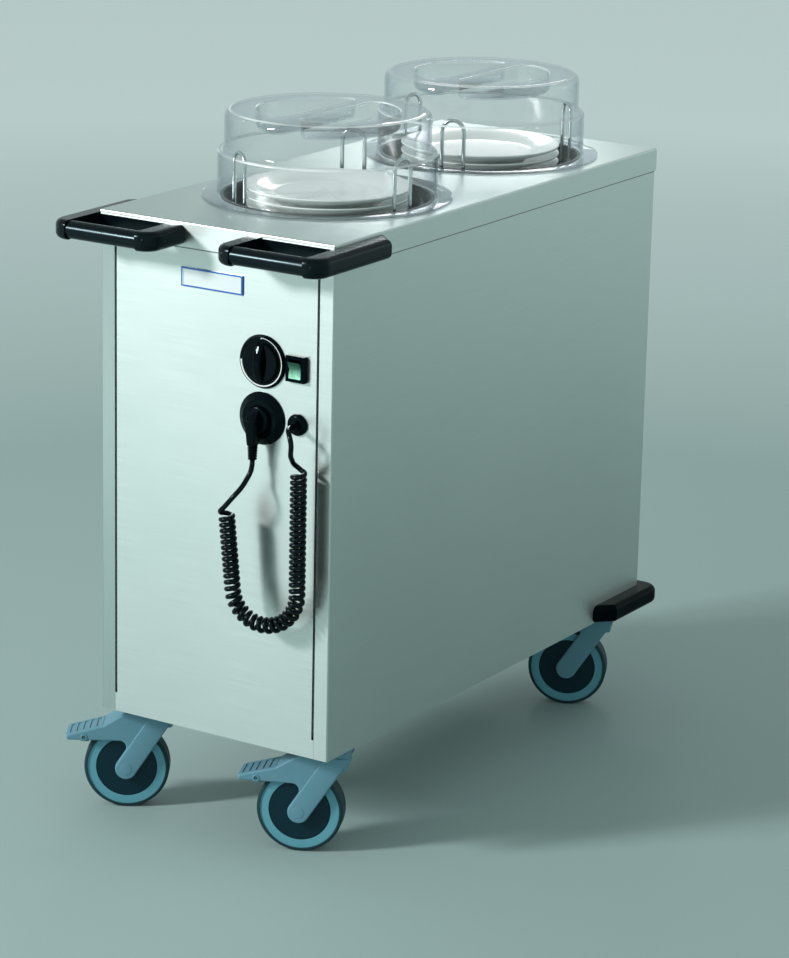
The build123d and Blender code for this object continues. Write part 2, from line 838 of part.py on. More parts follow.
def switch_frame():
    """Switch frame and body, open at the front for the rocker."""
    x = switch_offset
    z = switch_z
    front = front_face - switch_reach
    frame = front_block(x, z, switch_width, switch_height, front, front_face)
    frame = chamfer(edges_at(frame, Axis.X, lambda p: p.Y < front + touch), switch_bevel)
    body_width = window_width + 2 * switch_wall
    body_height = window_height + 2 * switch_wall
    frame += front_block(x, z, body_width, body_height, front_face, front_face + switch_depth)
    pit_back = front + rocker_pivot_depth + rocker_pit
    frame -= front_block(x, z, window_width, window_height, front, pit_back)
    pin_half = window_width / 2 + rocker_pin_length
    pivot_y = front + rocker_pivot_depth
    return frame - cross_rod(pivot_y, z, x - pin_half, x + pin_half, rocker_pin_radius + rocker_pin_clearance)


def switch_rocker():
    """Lit rocker, pressed in at its lower end, on two pivot pins."""
    half_x = window_width / 2 - rocker_gap
    half_z = window_height / 2 - rocker_end_gap
    pivot_y = front_face - switch_reach + rocker_pivot_depth
    outline = make_face(
        Polyline(
            (-rocker_pivot_depth - rocker_rise, half_z),
            (-rocker_pivot_depth + rocker_dip, 0),
            (-rocker_pivot_depth - rocker_rise, -half_z),
            (0, -half_z + rocker_heel),
            (rocker_back, 0),
            (0, half_z - rocker_heel),
            close=True,
        )
    )
    rocker = extrude(Plane.YZ.offset(-half_x) * outline, 2 * half_x)
    pin_half = half_x + rocker_pin_length
    rocker += cross_rod(0, 0, -pin_half, pin_half, rocker_pin_radius)
    return Pos(switch_offset, pivot_y, switch_z) * Rot(rocker_tilt, 0, 0) * rocker


def parking_socket():
    """Blind socket that holds the plug while the dispenser is moved."""
    cone = [(0, 0), (socket_radius, 0), (socket_radius, socket_rim)]
    cone += [(socket_face_radius, socket_reach), (0, socket_reach)]
    disc = on_front(dial_offset, socket_z, cone)
    body = disc + stub(dial_offset, socket_z, front_face, front_face + socket_body_depth, socket_body_radius)
    recess_floor = socket_face + socket_recess_depth
    body -= stub(dial_offset, socket_z, socket_face, recess_floor, socket_recess_radius)
    hole_end = recess_floor + pin_length + pin_clearance
    for side in (-1, 1):
        x = dial_offset + side * pin_spacing / 2
        body -= stub(x, socket_z, recess_floor, hole_end, pin_radius + pin_clearance)
    return body


def plug():
    """Angled plug: round face and pins in the socket, tail and ribbed relief pointing down."""
    face = socket_face + socket_recess_depth - plug_clearance
    head_front = socket_face - plug_head_length
    solid = stub(dial_offset, socket_z, socket_face, face, socket_recess_radius - plug_clearance)
    head = stub(dial_offset, socket_z, head_front, socket_face, plug_head_radius)
    solid += fillet([edge for edge in head.edges() if edge.center().Y < head_front + touch], plug_round)
    wedge_front = plug_axis_y - plug_tail_depth / 2 - plug_wedge_step
    wedge = make_face(
        Polyline(
            (socket_face, socket_z + plug_wedge_top),
            (head_front, socket_z + plug_wedge_top),
            (wedge_front, socket_z + plug_wedge_foot),
            (wedge_front, socket_z),
            (socket_face, socket_z),
            close=True,
        )
    )
    solid += extrude(Plane.YZ.offset(dial_offset - plug_tail_width / 2) * wedge, plug_tail_width)
    for side in (-1, 1):
        x = dial_offset + side * pin_spacing / 2
        solid += stub(x, socket_z, face, face + pin_length, pin_radius)
    centre = Pos(dial_offset, plug_axis_y, 0)
    tail_low = socket_z - plug_tail_length
    sections = [
        centre * Pos(0, 0, socket_z) * RectangleRounded(plug_tail_width, plug_tail_depth, plug_round),
        centre * Pos(0, 0, tail_low) * RectangleRounded(plug_neck_width, plug_neck_width, plug_round),
    ]
    solid += loft(sections)
    solid += post(dial_offset, plug_axis_y, tail_low, plug_tip_z, relief_radius)
    rib_step = relief_length / relief_ribs
    for rib in range(relief_ribs):
        rib_low = plug_tip_z + rib * rib_step
        solid += post(dial_offset, plug_axis_y, rib_low, rib_low + rib_step / 2, relief_radius + relief_rib)
    return solid


def cord_gland():
    """Cord gland through the front panel, with its nut behind."""
    disc_front = front_face - gland_disc
    disc = stub(gland_offset, socket_z, disc_front, front_face, gland_radius)
    disc = fillet([edge for edge in disc.edges() if edge.center().Y < disc_front + touch], gland_round)
    gland = disc + stub(gland_offset, socket_z, gland_face, disc_front, gland_boss_radius)
    nut_front = front_face + sheet
    gland += stub(gland_offset, socket_z, front_face, nut_front + gland_nut_height, gland_thread_radius)
    return gland + stub(gland_offset, socket_z, nut_front, nut_front + gland_nut_height, gland_nut_radius)


def terminal_box():
    """Terminal box with its lid, standing on the floor pan."""
    width, depth, height = terminal_size
    x = terminal_offset
    y = front_face + terminal_setback
    box = slab(x - width / 2, x + width / 2, y - depth / 2, y + depth / 2, pan_top, pan_top + height)
    lid_x = width / 2 + terminal_overhang
    lid_y = depth / 2 + terminal_overhang
    lid_bottom = pan_top + height
    return box + slab(x - lid_x, x + lid_x, y - lid_y, y + lid_y, lid_bottom, lid_bottom + terminal_lid)


def wire(points):
    """Insulated wire on straight runs with plain bends."""
    path = FilletPolyline(*points, radius=wire_bend)
    start = Plane(origin=points[0], z_dir=Vector(points[1]) - Vector(points[0]))
    return sweep(start * Circle(wire_radius), path=path)


def fitting_wire(x, y, z, entry):
    """Wire from the back of a fitting on the front panel down into the terminal box."""
    out = y + wire_stand_off
    box_top = pan_top + terminal_size[2] + terminal_lid
    level = box_top + wire_drop
    return wire([(x, y, z), (x, out, z), (x, out, level), (entry, out, level), (entry, out, box_top)])


def wiring():
    """Wires from the gland, the thermostat, the switch and the heaters to the terminal box."""
    width, depth, height = terminal_size
    box_y = front_face + terminal_setback
    box_side = terminal_offset + width / 2
    gland_back = front_face + sheet + gland_nut_height
    gland_run = gland_back + wire_stand_off
    box_middle = pan_top + height / 2
    supply = wire(
        [
            (gland_offset, gland_back, socket_z),
            (gland_offset, gland_run, socket_z),
            (gland_offset, gland_run, box_middle),
            (box_side, gland_run, box_middle),
        ]
    )
    thermostat_back = front_face + sheet + thermostat_size[1]
    control = fitting_wire(dial_offset, thermostat_back, dial_z, terminal_offset + wire_entry)
    lamp = fitting_wire(switch_offset, front_face + switch_depth, switch_z, terminal_offset - wire_entry)
    head_reach = heater_radius + heater_head[0]
    box_back = box_y + depth / 2
    level = pan_top + wire_height
    near = well_places["front"] - head_reach
    front_feed = post(0, 0, 0, near - box_back, wire_radius)
    front_feed = Pos(0, near, level) * Rot(90, 0, 0) * front_feed
    far = well_places["rear"] - head_reach
    rear_feed = wire(
        [
            (0, far, level),
            (0, far - wire_jog, level),
            (terminal_offset, far - 2 * wire_jog, level),
            (terminal_offset, box_back, level),
        ]
    )
    return [supply, control, lamp, front_feed, rear_feed]


# Cord


def tube_along(points, radius):
    """Round tube on straight runs joined by arcs as large as the runs allow."""
    corners = [Vector(point) for point in points]
    radii = []
    for before, here, after in zip(corners, corners[1:], corners[2:]):
        turn = radians((here - before).get_angle(after - here))
        shorter = min((here - before).length, (after - here).length)
        radii.append(arc_share * shorter / tan(turn / 2))
    path = FilletPolyline(*corners, radius=radii)
    start = Plane(origin=corners[0], z_dir=corners[1] - corners[0])
    tube = sweep(start * Circle(radius), path=path)
    section_volume = pi * radius**2 * path.length
    print(f"lead: length {path.length:.1f}, volume ratio {tube.volume / section_volume:.4f}")
    print(f"lead: radii {[round(arc, 1) for arc in radii]}")
    return tube


def hung(point):
    """A point of the cord, given from the front panel and the socket."""
    across, out, below = point
    return Vector(dial_offset + across, front_face - out, socket_z - below)


class CoilAxis:
    """Middle line of the hanging coil: a leaning column, a round bend and an upright column."""

    def __init__(self):
        left = hung(coil_left)
        right = hung(coil_right)
        lowest = socket_z - coil_depth
        span = Vector(right.X - left.X, right.Y - left.Y, 0)
        self.origin = left
        self.across = span.normalized()
        self.towards = Vector(self.across.Y, -self.across.X, 0)
        self.width = span.length
        self.lean = radians(coil_lean)
        drop = left.Z - lowest
        lean_reach = self.width * cos(self.lean) - drop * sin(self.lean)
        self.bend = lean_reach / (1 + cos(self.lean) - sin(self.lean))
        self.bend_z = lowest + self.bend
        side = self.width - self.bend
        self.left_length = side * sin(self.lean) - (self.bend_z - left.Z) * cos(self.lean)
        self.bend_length = self.bend * (pi - self.lean)
        self.right_length = right.Z - self.bend_z

    def at(self, along):
        """Point, direction and inward normal at a length along the axis."""
        up = Vector(0, 0, 1)
        if along < self.left_length:
            direction = self.across * sin(self.lean) - up * cos(self.lean)
            inward = self.across * cos(self.lean) + up * sin(self.lean)
            return self.origin + direction * along, direction, inward
        if along < self.left_length + self.bend_length:
            angle = self.lean + (along - self.left_length) / self.bend
            inward = self.across * cos(angle) + up * sin(angle)
            direction = self.across * sin(angle) - up * cos(angle)
            centre = self.origin + self.across * (self.width - self.bend) + up * (self.bend_z - self.origin.Z)
            return centre - inward * self.bend, direction, inward
        rise = along - self.left_length - self.bend_length
        foot = self.origin + self.across * self.width + up * (self.bend_z - self.origin.Z)
        return foot + up * rise, up, -self.across

    def pitch(self, along):
        """Distance between curls, opened round the bend."""
        start = self.left_length - pitch_ease
        end = self.left_length + self.bend_length + pitch_ease
        share = min(max(min(along - start, end - along) / pitch_ease, 0), 1)
        return curl_pitch + (bend_pitch - curl_pitch) * share


def peel_pitch(slope):
    """Pitch at which the strand climbs at a slope in degrees."""
    return 2 * pi * curl_radius * tan(radians(slope))


def curl_points():
    """Points and tangents of the curled strand, a quarter turn apart."""
    axis = CoilAxis()
    total = axis.left_length + axis.bend_length + axis.right_length
    alongs = [0.0]
    quarter = 1
    while alongs[-1] < total or quarter % 4:
        alongs.append(alongs[-1] + axis.pitch(alongs[-1]) / 4)
        quarter += 1
    pitches = [axis.pitch(along) for along in alongs]
    for step in range(peel_quarters):
        share = (1 - step / peel_quarters) ** 2
        pitches[step] += (peel_pitch(peel_left) - pitches[step]) * share
        pitches[-1 - step] += (peel_pitch(peel_right) - pitches[-1 - step]) * share
    shifts = [0.0]
    for here, after in zip(pitches, pitches[1:]):
        shifts.append(shifts[-1] + (here + after) / 8)
    lead_in = sum((a + b) / 8 for a, b in zip(pitches[:peel_quarters], pitches[1:]))
    offset = lead_in - alongs[peel_quarters]
    points = []
    for step, (shift, pitch) in enumerate(zip(shifts, pitches)):
        along = shift - offset
        point, direction, inward = axis.at(along)
        phase = (step + 1) * pi / 2
        bent = axis.left_length < along < axis.left_length + axis.bend_length
        stretch = 1 - curl_radius * cos(phase) / axis.bend if bent else 1
        around = axis.towards * cos(phase) - inward * sin(phase)
        tangent = direction * (pitch * stretch / (2 * pi)) + around * curl_radius
        spot = point + inward * (curl_radius * cos(phase)) + axis.towards * (curl_radius * sin(phase))
        points.append((spot, tangent.normalized()))
    return points


def arc_through(start, tangent, end):
    """Middle point of the arc that leaves start along a tangent and ends at end."""
    chord = end - start
    along = chord.normalized()
    bow = tangent - along * tangent.dot(along)
    half_angle = acos(max(-1.0, min(1.0, tangent.dot(along))))
    sagitta = chord.length / 2 * tan(half_angle / 2)
    return start + chord * 0.5 + bow.normalized() * sagitta


def biarc(start, start_tangent, end, end_tangent):
    """Two arcs that join two points with given tangents, as edges and as points."""
    chord = end - start
    both = start_tangent + end_tangent
    spread = 2 * (1 - start_tangent.dot(end_tangent))
    reach = (sqrt(chord.dot(both) ** 2 + spread * chord.dot(chord)) - chord.dot(both)) / spread
    joint = (start + start_tangent * reach + end - end_tangent * reach) * 0.5
    first = arc_through(start, start_tangent, joint)
    second = arc_through(end, end_tangent * -1, joint)
    edges = [Edge.make_three_point_arc(start, first, joint), Edge.make_three_point_arc(joint, second, end)]
    return edges


def least_gap(points, apart):
    """Smallest clear distance between stretches of the strand that lie more than apart along it."""
    lengths = [0.0]
    for before, after in zip(points, points[1:]):
        lengths.append(lengths[-1] + (after - before).length)
    nearest = lengths[-1]
    for index, point in enumerate(points):
        for other in range(index + 1, len(points)):
            stretch = lengths[other] - lengths[index]
            if apart < stretch < 2 * apart:
                nearest = min(nearest, (points[other] - point).length)
    return nearest - 2 * cord_radius


def cord_curls():
    """Curled middle of the cord as one tube, with the free ends that the leads meet."""
    points = curl_points()
    straight = 2 * cord_radius
    start = points[0][0] - points[0][1] * straight
    end = points[-1][0] + points[-1][1] * straight
    edges = [Edge.make_line(start, points[0][0])]
    for (here, here_tangent), (after, after_tangent) in zip(points, points[1:]):
        edges += biarc(here, here_tangent, after, after_tangent)
    edges.append(Edge.make_line(points[-1][0], end))
    samples = [edge.position_at(step / samples_per_arc) for edge in edges for step in range(samples_per_arc)]
    gap = least_gap(samples, neighbour_turn * 2 * pi * curl_radius)
    print(f"curls: {len(points) // 4} turns, least gap {gap:.2f}")
    path = Wire(edges)
    tube = sweep(Plane(origin=start, z_dir=points[0][1]) * Circle(cord_radius), path=path)
    section_volume = pi * cord_radius**2 * path.length
    print(f"curls: length {path.length:.1f}, volume ratio {tube.volume / section_volume:.4f}")
    return tube, (start, -points[0][1]), (end, points[-1][1])


def cord_lead(mouth, points, last_run, curl_end, outward):
    """Smooth lead from a mouth to the curls' end, which it meets along the strand."""
    corners = [hung(point) for point in points]
    return tube_along([mouth] + corners + [curl_end + outward * last_run, curl_end], cord_radius)


# Casters, modelled with the kingpin on Z and the wheel towards +X, then turned into place


def caster_places():
    """Kingpin positions by caster name."""
    places = {}
    for end, y in (("front", -kingpin_y), ("rear", kingpin_y)):
        for side, x in (("left", -kingpin_x), ("right", kingpin_x)):
            places[f"{end}_{side}"] = (x, y)
    return places


def bolt_places(x, y):
    """Bolt positions of a caster plate."""
    half_x = bolt_spacing[0] / 2
    half_y = bolt_spacing[1] / 2
    return [(x + sx * half_x, y + sy * half_y) for sx in (-1, 1) for sy in (-1, 1)]


def about_axle(profile_points):
    """A profile of (radius, width) points turned about the wheel's axle."""
    return Pos(trail, 0, wheel_radius) * Rot(90, 0, 0) * turned(profile_points)


def tyre():
    """Rubber tread on the rim."""
    inner = wheel_radius - tyre_depth
    half = tyre_width / 2
    ring = about_axle([(inner, -half), (wheel_radius, -half), (wheel_radius, half), (inner, half)])
    circles = ring.edges().filter_by(GeomType.CIRCLE)
    return fillet([edge for edge in circles if edge.radius > inner + touch], tyre_round)


def wheel():
    """Plastic rim, web and hub, bored for the axle."""
    outer = wheel_radius - tyre_depth
    rim_half = rim_width / 2
    hub_half = hub_width / 2
    web_half = web_thickness / 2
    seat = guard_radius + guard_gap
    seat_half = rim_half - guard_seat
    hollow = outer - rim_depth - guard_seat
    bore = axle_radius + axle_clearance
    half_profile = [
        (bore, hub_half),
        (hub_radius, hub_half),
        (hub_radius, web_half),
        (hollow, web_half),
        (hollow, seat_half),
        (seat, seat_half),
        (seat, rim_half),
        (outer, rim_half),
    ]
    return about_axle(half_profile + [(r, -w) for r, w in reversed(half_profile)])


def guards():
    """Dark cover discs on both sides of the wheel."""
    inner = hub_radius + guard_gap
    seat_half = rim_width / 2 - guard_seat
    discs = []
    for side in (-1, 1):
        low = side * seat_half
        high = side * (seat_half + guard_thickness)
        discs.append(about_axle([(inner, low), (guard_radius, low), (guard_radius, high), (inner, high)]))
    return discs


def axle():
    """Axle with a cap on each fork leg."""
    half = fork_half_width
    cap = half + axle_cap_height
    return about_axle(
        [(0, -cap), (axle_cap_radius, -cap), (axle_cap_radius, -half), (axle_radius, -half)]
        + [(axle_radius, half), (axle_cap_radius, half), (axle_cap_radius, cap), (0, cap)]
    )


def leg_middle(height):
    """Middle line of the slanting legs at a height."""
    head_bottom = head_top - head_height
    return trail - leg_lean * (height - wheel_radius) / (head_bottom - wheel_radius)


def fork_outline(braked):
    """Side view of the fork: slanting legs, head and, on a braked caster, the fender."""
    head_bottom = head_top - head_height
    axle_spot = Vector(trail, wheel_radius)
    slant = (Vector(leg_middle(head_bottom), head_bottom) - axle_spot).normalized()
    side_step = Vector(slant.Y, -slant.X) * leg_half_width
    foot = axle_spot - slant * leg_half_width
    level_half = leg_half_width / slant.Y
    corners = [
        (foot - side_step, leg_foot_round),
        (foot + side_step, leg_foot_round),
    ]
    if braked:
        corners += [
            (Vector(leg_middle(fender_bottom) + level_half, fender_bottom), fender_crook),
            (Vector(fender_tip, fender_bottom), fender_tip_round),
            (Vector(fender_tip, fender_tip_top), fender_tip_round),
            (Vector(fender_seam, fender_seam_top), fender_seam_round),
            (Vector(head_half_length - head_round, head_top), head_round),
        ]
    else:
        corners += [
            (Vector(leg_middle(head_bottom) + level_half, head_bottom), crook_round),
            (Vector(head_half_length, head_bottom), head_round),
            (Vector(head_half_length, head_top), head_round),
        ]
    corners += [
        (Vector(-head_half_length, head_top), head_round),
        (Vector(-head_half_length, head_bottom), head_round),
        (Vector(leg_middle(head_bottom) - level_half, head_bottom), crook_round),
    ]
    points = [corner for corner, radius in corners]
    return make_face(FilletPolyline(*points, radius=[radius for corner, radius in corners], close=True))


def fork(braked):
    """Swivel fork: head on the kingpin, two legs and, if braked, the pedal's fender."""
    body = side_plate(fork_outline(braked), -fork_half_width, fork_half_width)
    rims = [edge for edge in body.edges() if abs(edge.center().Y) > fork_half_width - touch]
    body = fillet(rims, fork_round)
    slot = slot_half_width
    body -= Pos(trail, 0, wheel_radius) * Rot(90, 0, 0) * Cylinder(wheel_radius + wheel_gap, 2 * slot)
    if braked:
        seam_low = fender_seam_top - fender_roof
        roof_slope = (head_top - fender_seam_top) / (fender_seam - head_half_length + head_round)
        room = make_face(
            Polyline(
                (trail, fender_bottom - fender_roof),
                (fender_tip + fender_roof, fender_bottom - fender_roof),
                (fender_tip + fender_roof, fender_seam_top + fender_roof),
                (fender_seam, fender_seam_top + fender_roof),
                (fender_seam, seam_low),
                (trail, seam_low + (fender_seam - trail) * roof_slope),
                close=True,
            )
        )
        body -= side_plate(room, -slot, slot)
        pin = pedal_pin_radius + pedal_pin_clearance
        body -= stub(pedal_pivot[0], pedal_pivot[1], -fork_half_width, fork_half_width, pin)
    body -= stub(trail, wheel_radius, -fork_half_width, fork_half_width, axle_radius)
    return body - post(0, 0, head_top - kingpin_depth, head_top, kingpin_radius + kingpin_clearance)


def top_of_pedal(x):
    """Height of the pedal's sloping tread."""
    slope = (fender_tip_top - fender_seam_top) / (fender_tip - fender_seam)
    return fender_seam_top + (x - fender_seam) * slope


def pedal():
    """Ribbed brake pedal between the fender's cheeks, rocking on its pin."""
    seam = fender_seam + pedal_gap
    half = slot_half_width - pedal_gap
    pivot_x, pivot_z = pedal_pivot
    tab_half = pedal_tab_length / 2
    outline = make_face(
        Polyline(
            (seam, top_of_pedal(seam)),
            (fender_tip, fender_tip_top),
            (fender_tip, fender_tip_top - pedal_thickness),
            (pivot_x + tab_half, pivot_z - pedal_thickness / 2),
            (pivot_x + tab_half, pivot_z - pedal_tab_drop),
            (pivot_x - tab_half, pivot_z - pedal_tab_drop),
            (pivot_x - tab_half, pivot_z),
            (seam, top_of_pedal(seam) - pedal_thickness),
            close=True,
        )
    )
    tread = side_plate(outline, -half, half)
    tab_bottom = pivot_z - pedal_tab_drop
    tab_top = pivot_z - pedal_thickness
    for side in (-1, 1):
        tab_side = side * pedal_tab_width / 2
        tread -= slab(pivot_x - tab_half, pivot_x + tab_half, tab_side, side * half, tab_bottom, tab_top)
    step = (fender_tip - seam) / (2 * pedal_ribs + 1)
    for rib in range(pedal_ribs):
        x0 = seam + (2 * rib + 1) * step
        groove = make_face(
            Polyline(
                (x0, top_of_pedal(x0) - pedal_rib_depth),
                (x0 + step, top_of_pedal(x0 + step) - pedal_rib_depth),
                (x0 + step, top_of_pedal(x0) + pedal_thickness),
                (x0, top_of_pedal(x0) + pedal_thickness),
                close=True,
            )
        )
        tread -= side_plate(groove, -half, half)
    return tread + stub(pivot_x, pivot_z, -fork_half_width, fork_half_width, pedal_pin_radius)


def caster_head(x, y):
    """Fixed top plate, bearing cup and kingpin of one caster."""
    length, width, thickness = caster_plate
    head = Pos(x, y, pan_bottom - thickness / 2) * Box(length, width, thickness)
    head += post(x, y, cup_bottom, pan_bottom - thickness, cup_radius)
    head += post(x, y, head_top - kingpin_depth + swivel_gap, cup_bottom, kingpin_radius)
    for bolt_x, bolt_y in bolt_places(x, y):
        head -= post(bolt_x, bolt_y, pan_bottom - thickness, pan_bottom, bolt_radius + hole_clearance)
    return head


def caster_bolt(x, y):
    """Bolt through a caster plate and the floor pan, with its nut inside."""
    plate_bottom = pan_bottom - caster_plate[2]
    bolt = post(x, y, plate_bottom, pan_top + nut_height, bolt_radius)
    hexagon = RegularPolygon(bolt_head_radius, 6)
    head = extrude(Pos(x, y, plate_bottom - bolt_head_height) * hexagon, bolt_head_height)
    nut = extrude(Pos(x, y, pan_top) * hexagon, nut_height)
    return bolt + head + nut


def placed(name, shape):
    """A caster piece turned to its trail angle under its kingpin."""
    x, y = caster_places()[name]
    return Pos(x, y, 0) * Rot(0, 0, caster_angles[name]) * shape


# Assembly

nodes = {
    "top_plate": [top_plate()],
    "side_panel_right": [side_panel()],
    "side_panel_left": [mirrored(side_panel())],
    "front_panel": [front_panel()],
    "rear_panel": [Rot(0, 0, 180) * end_panel()],
    "floor_pan": [floor_pan()],
    "badge_plate": [badge_plate()],
    "handle_right": handle_right(),
    "handle_left": [mirrored(piece) for piece in handle_right()],
    "rear_bumpers": [rear_bumper(), mirrored(rear_bumper())],
    "heaters": [heater(y) for y in well_places.values()],
    "dial_ring": [dial_ring()],
    "dial_knob": [dial_knob()],
    "switch_frame": [switch_frame()],
    "switch_rocker": [switch_rocker()],
    "parking_socket": [parking_socket()],
    "plug": [plug()],
    "cord_gland": [cord_gland()],
    "inner_fittings": [thermostat(), terminal_box()],
    "wiring": wiring(),
}
kingpins = caster_places().values()
nodes["caster_heads"] = [caster_head(x, y) for x, y in kingpins]
nodes["caster_heads"] += [caster_bolt(*spot) for x, y in kingpins for spot in bolt_places(x, y)]
for well_name in well_places:
    nodes[f"well_{well_name}"] = [well(well_name)]
    nodes[f"guide_rods_{well_name}"] = guide_rods(well_name)
    nodes[f"springs_{well_name}"] = springs(well_name)
    nodes[f"platform_{well_name}"] = [platform(well_name)]
    nodes[f"plates_{well_name}"] = plates(well_name)
    nodes[f"hood_{well_name}"] = [hood(well_name)]
    nodes[f"hood_grip_{well_name}"] = hood_grip(well_name)
for caster_name in caster_places():
    braked = caster_name.startswith("front")
    nodes[f"fork_{caster_name}"] = [placed(caster_name, fork(braked))]
    nodes[f"axle_{caster_name}"] = [placed(caster_name, axle())]
    nodes[f"wheel_{caster_name}"] = [placed(caster_name, wheel())]
    nodes[f"tyre_{caster_name}"] = [placed(caster_name, tyre())]
    nodes[f"guards_{caster_name}"] = [placed(caster_name, disc) for disc in guards()]
    if braked:
        nodes[f"pedal_{caster_name.split('_')[1]}"] = [placed(caster_name, pedal())]

curls, plug_side, gland_side = cord_curls()
plug_mouth = (dial_offset, plug_axis_y, plug_tip_z)
gland_mouth = (gland_offset, gland_face, socket_z)
nodes["cord_curls"] = [curls]
nodes["cord_lead_plug"] = [cord_lead(plug_mouth, plug_lead_points, plug_lead_end, *plug_side)]
nodes["cord_lead_gland"] = [cord_lead(gland_mouth, gland_lead_points, gland_lead_end, *gland_side)]

os.makedirs("parts", exist_ok=True)
for node, pieces in nodes.items():
    solids = [solid for piece in pieces for solid in piece.solids()]
    export_step(Compound(children=solids, label=node), f"parts/{node}.step")
print(f"{len(nodes)} nodes")
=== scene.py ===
# %% [markdown]
# # A heated plate dispenser
# A steel cabinet on four casters. Plates stand in two sprung wells under clear hoods,
# and a curly cord hangs from the front, with its plug parked in a dummy socket.
# The exact solids are already there: the frame brings them in at their real size.
# This lesson dresses them. It finishes every surface, winds the cord and models the
# pieces whose softer shapes are easier to make by hand in Blender.

# %% Load the frame
import json
from math import atan2, cos, degrees, pi, radians, sin, tan

import bpy
from mathutils import Matrix, Vector


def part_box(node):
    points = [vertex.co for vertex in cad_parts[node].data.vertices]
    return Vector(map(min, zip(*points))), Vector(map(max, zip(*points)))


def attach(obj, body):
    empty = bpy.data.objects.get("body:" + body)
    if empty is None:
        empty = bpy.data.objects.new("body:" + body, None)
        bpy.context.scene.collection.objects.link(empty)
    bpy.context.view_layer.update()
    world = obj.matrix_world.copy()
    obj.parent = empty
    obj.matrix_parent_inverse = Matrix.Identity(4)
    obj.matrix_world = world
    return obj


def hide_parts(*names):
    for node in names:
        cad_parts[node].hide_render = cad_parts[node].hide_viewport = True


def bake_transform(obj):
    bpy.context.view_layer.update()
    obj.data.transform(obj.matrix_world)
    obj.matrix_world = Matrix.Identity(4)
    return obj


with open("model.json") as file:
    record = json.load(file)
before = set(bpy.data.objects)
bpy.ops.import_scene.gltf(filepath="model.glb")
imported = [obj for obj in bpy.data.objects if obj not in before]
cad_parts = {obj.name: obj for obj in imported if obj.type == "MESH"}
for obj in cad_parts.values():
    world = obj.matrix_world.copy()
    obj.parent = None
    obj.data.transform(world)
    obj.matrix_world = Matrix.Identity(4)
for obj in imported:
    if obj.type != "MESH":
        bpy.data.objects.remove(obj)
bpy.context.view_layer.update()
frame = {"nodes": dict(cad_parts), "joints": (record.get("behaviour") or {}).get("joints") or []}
joints = {joint["name"]: joint for joint in frame["joints"]}
MM = 0.001
UP = Vector((0, 0, 1))
LEVEL = Vector((1, 1, 0))

# %% [markdown]
# ## Helpers for working as by hand
# Operators act on whatever is selected, so each step first puts one object alone in
# the selection. Faces, edges and points are then picked by their place, the way the
# eye picks them in edit mode.


# %% Selecting
def mode(name):
    """Change between edit mode and object mode."""
    bpy.ops.object.mode_set(mode=name)


def alone(piece):
    """Leave edit mode and make one object the only selected one."""
    if bpy.context.object and bpy.context.object.mode != "OBJECT":
        mode("OBJECT")
    bpy.ops.object.select_all(action="DESELECT")
    if piece:
        piece.select_set(True)
        bpy.context.view_layer.objects.active = piece


def everything(*place):
    """The test that every part of a mesh passes."""
    return True


def pick(piece, kind, test=everything):
    """Select the parts of a mesh whose middle passes a test, and stay in edit mode."""
    alone(piece)
    mode("EDIT")
    bpy.ops.mesh.select_mode(type=kind)
    bpy.ops.mesh.select_all(action="DESELECT")
    mode("OBJECT")
    mesh = piece.data
    points = [vertex.co for vertex in mesh.vertices]
    if kind == "VERT":
        for vertex in mesh.vertices:
            vertex.select = test(vertex.co)
    elif kind == "EDGE":
        for edge in mesh.edges:
            edge.select = test((points[edge.vertices[0]] + points[edge.vertices[1]]) / 2)
    else:
        for face in mesh.polygons:
            face.select = test(face.center, face.normal)
    mode("EDIT")


def middle_of(node):
    """The middle of a solid's box."""
    low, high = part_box(node)
    return (low + high) / 2


# %% Starting and joining pieces
MERGED = 0.01 * MM


def into_scene(thing):
    """Put a new object into the scene."""
    bpy.context.scene.collection.objects.link(thing)


def begin(name, primitive, **sizes):
    """A new primitive, alone in the selection, with its place in its mesh."""
    alone(None)
    primitive(**sizes)
    piece = bpy.context.object
    piece.name = name
    bpy.ops.object.transform_apply(location=True, rotation=True, scale=True)
    return piece


def tidy_mesh(piece):
    """Merge doubled points and turn all faces outwards."""
    pick(piece, "VERT")
    bpy.ops.mesh.remove_doubles(threshold=MERGED)
    bpy.ops.mesh.normals_make_consistent(inside=False)
    mode("OBJECT")


def smooth(piece, angle=40):
    """Smooth shading, with crisp edges kept above an angle."""
    alone(piece)
    bpy.ops.object.shade_smooth_by_angle(angle=radians(angle))


def join(piece, *others):
    """Join other meshes into a piece."""
    alone(piece)
    for other in others:
        other.select_set(True)
    bpy.ops.object.join()


def apply_all(piece):
    """Apply the piece's modifiers, top to bottom."""
    alone(piece)
    for modifier in list(piece.modifiers):
        bpy.ops.object.modifier_apply(modifier=modifier.name)


# %% [markdown]
# ## Camera
# The picture was taken from the front right, a little above the worktop, with a long
# lens from about five metres. The camera stands there and leans by a degree, as the
# picture does. It has no shift, so it can be carried round the object for other views.

# %% Camera
EYE = Vector((2.6906, -4.2526, 1.8831))
LOOK_TURN = radians(32.188)
LOOK_DOWN = radians(16.034)
LEAN = radians(1.24)
LENS = 130.3
SENSOR = 36

camera = bpy.data.objects.new("camera", bpy.data.cameras.new("camera"))
into_scene(camera)
camera.data.lens = LENS
camera.data.sensor_width = SENSOR
aim = Matrix.Rotation(LOOK_TURN, 4, "Z") @ Matrix.Rotation(pi / 2 - LOOK_DOWN, 4, "X")
camera.matrix_world = Matrix.Translation(EYE) @ aim @ Matrix.Rotation(LEAN, 4, "Z")
bpy.context.scene.camera = camera
print("camera stands", round(EYE.length, 2), "m away")

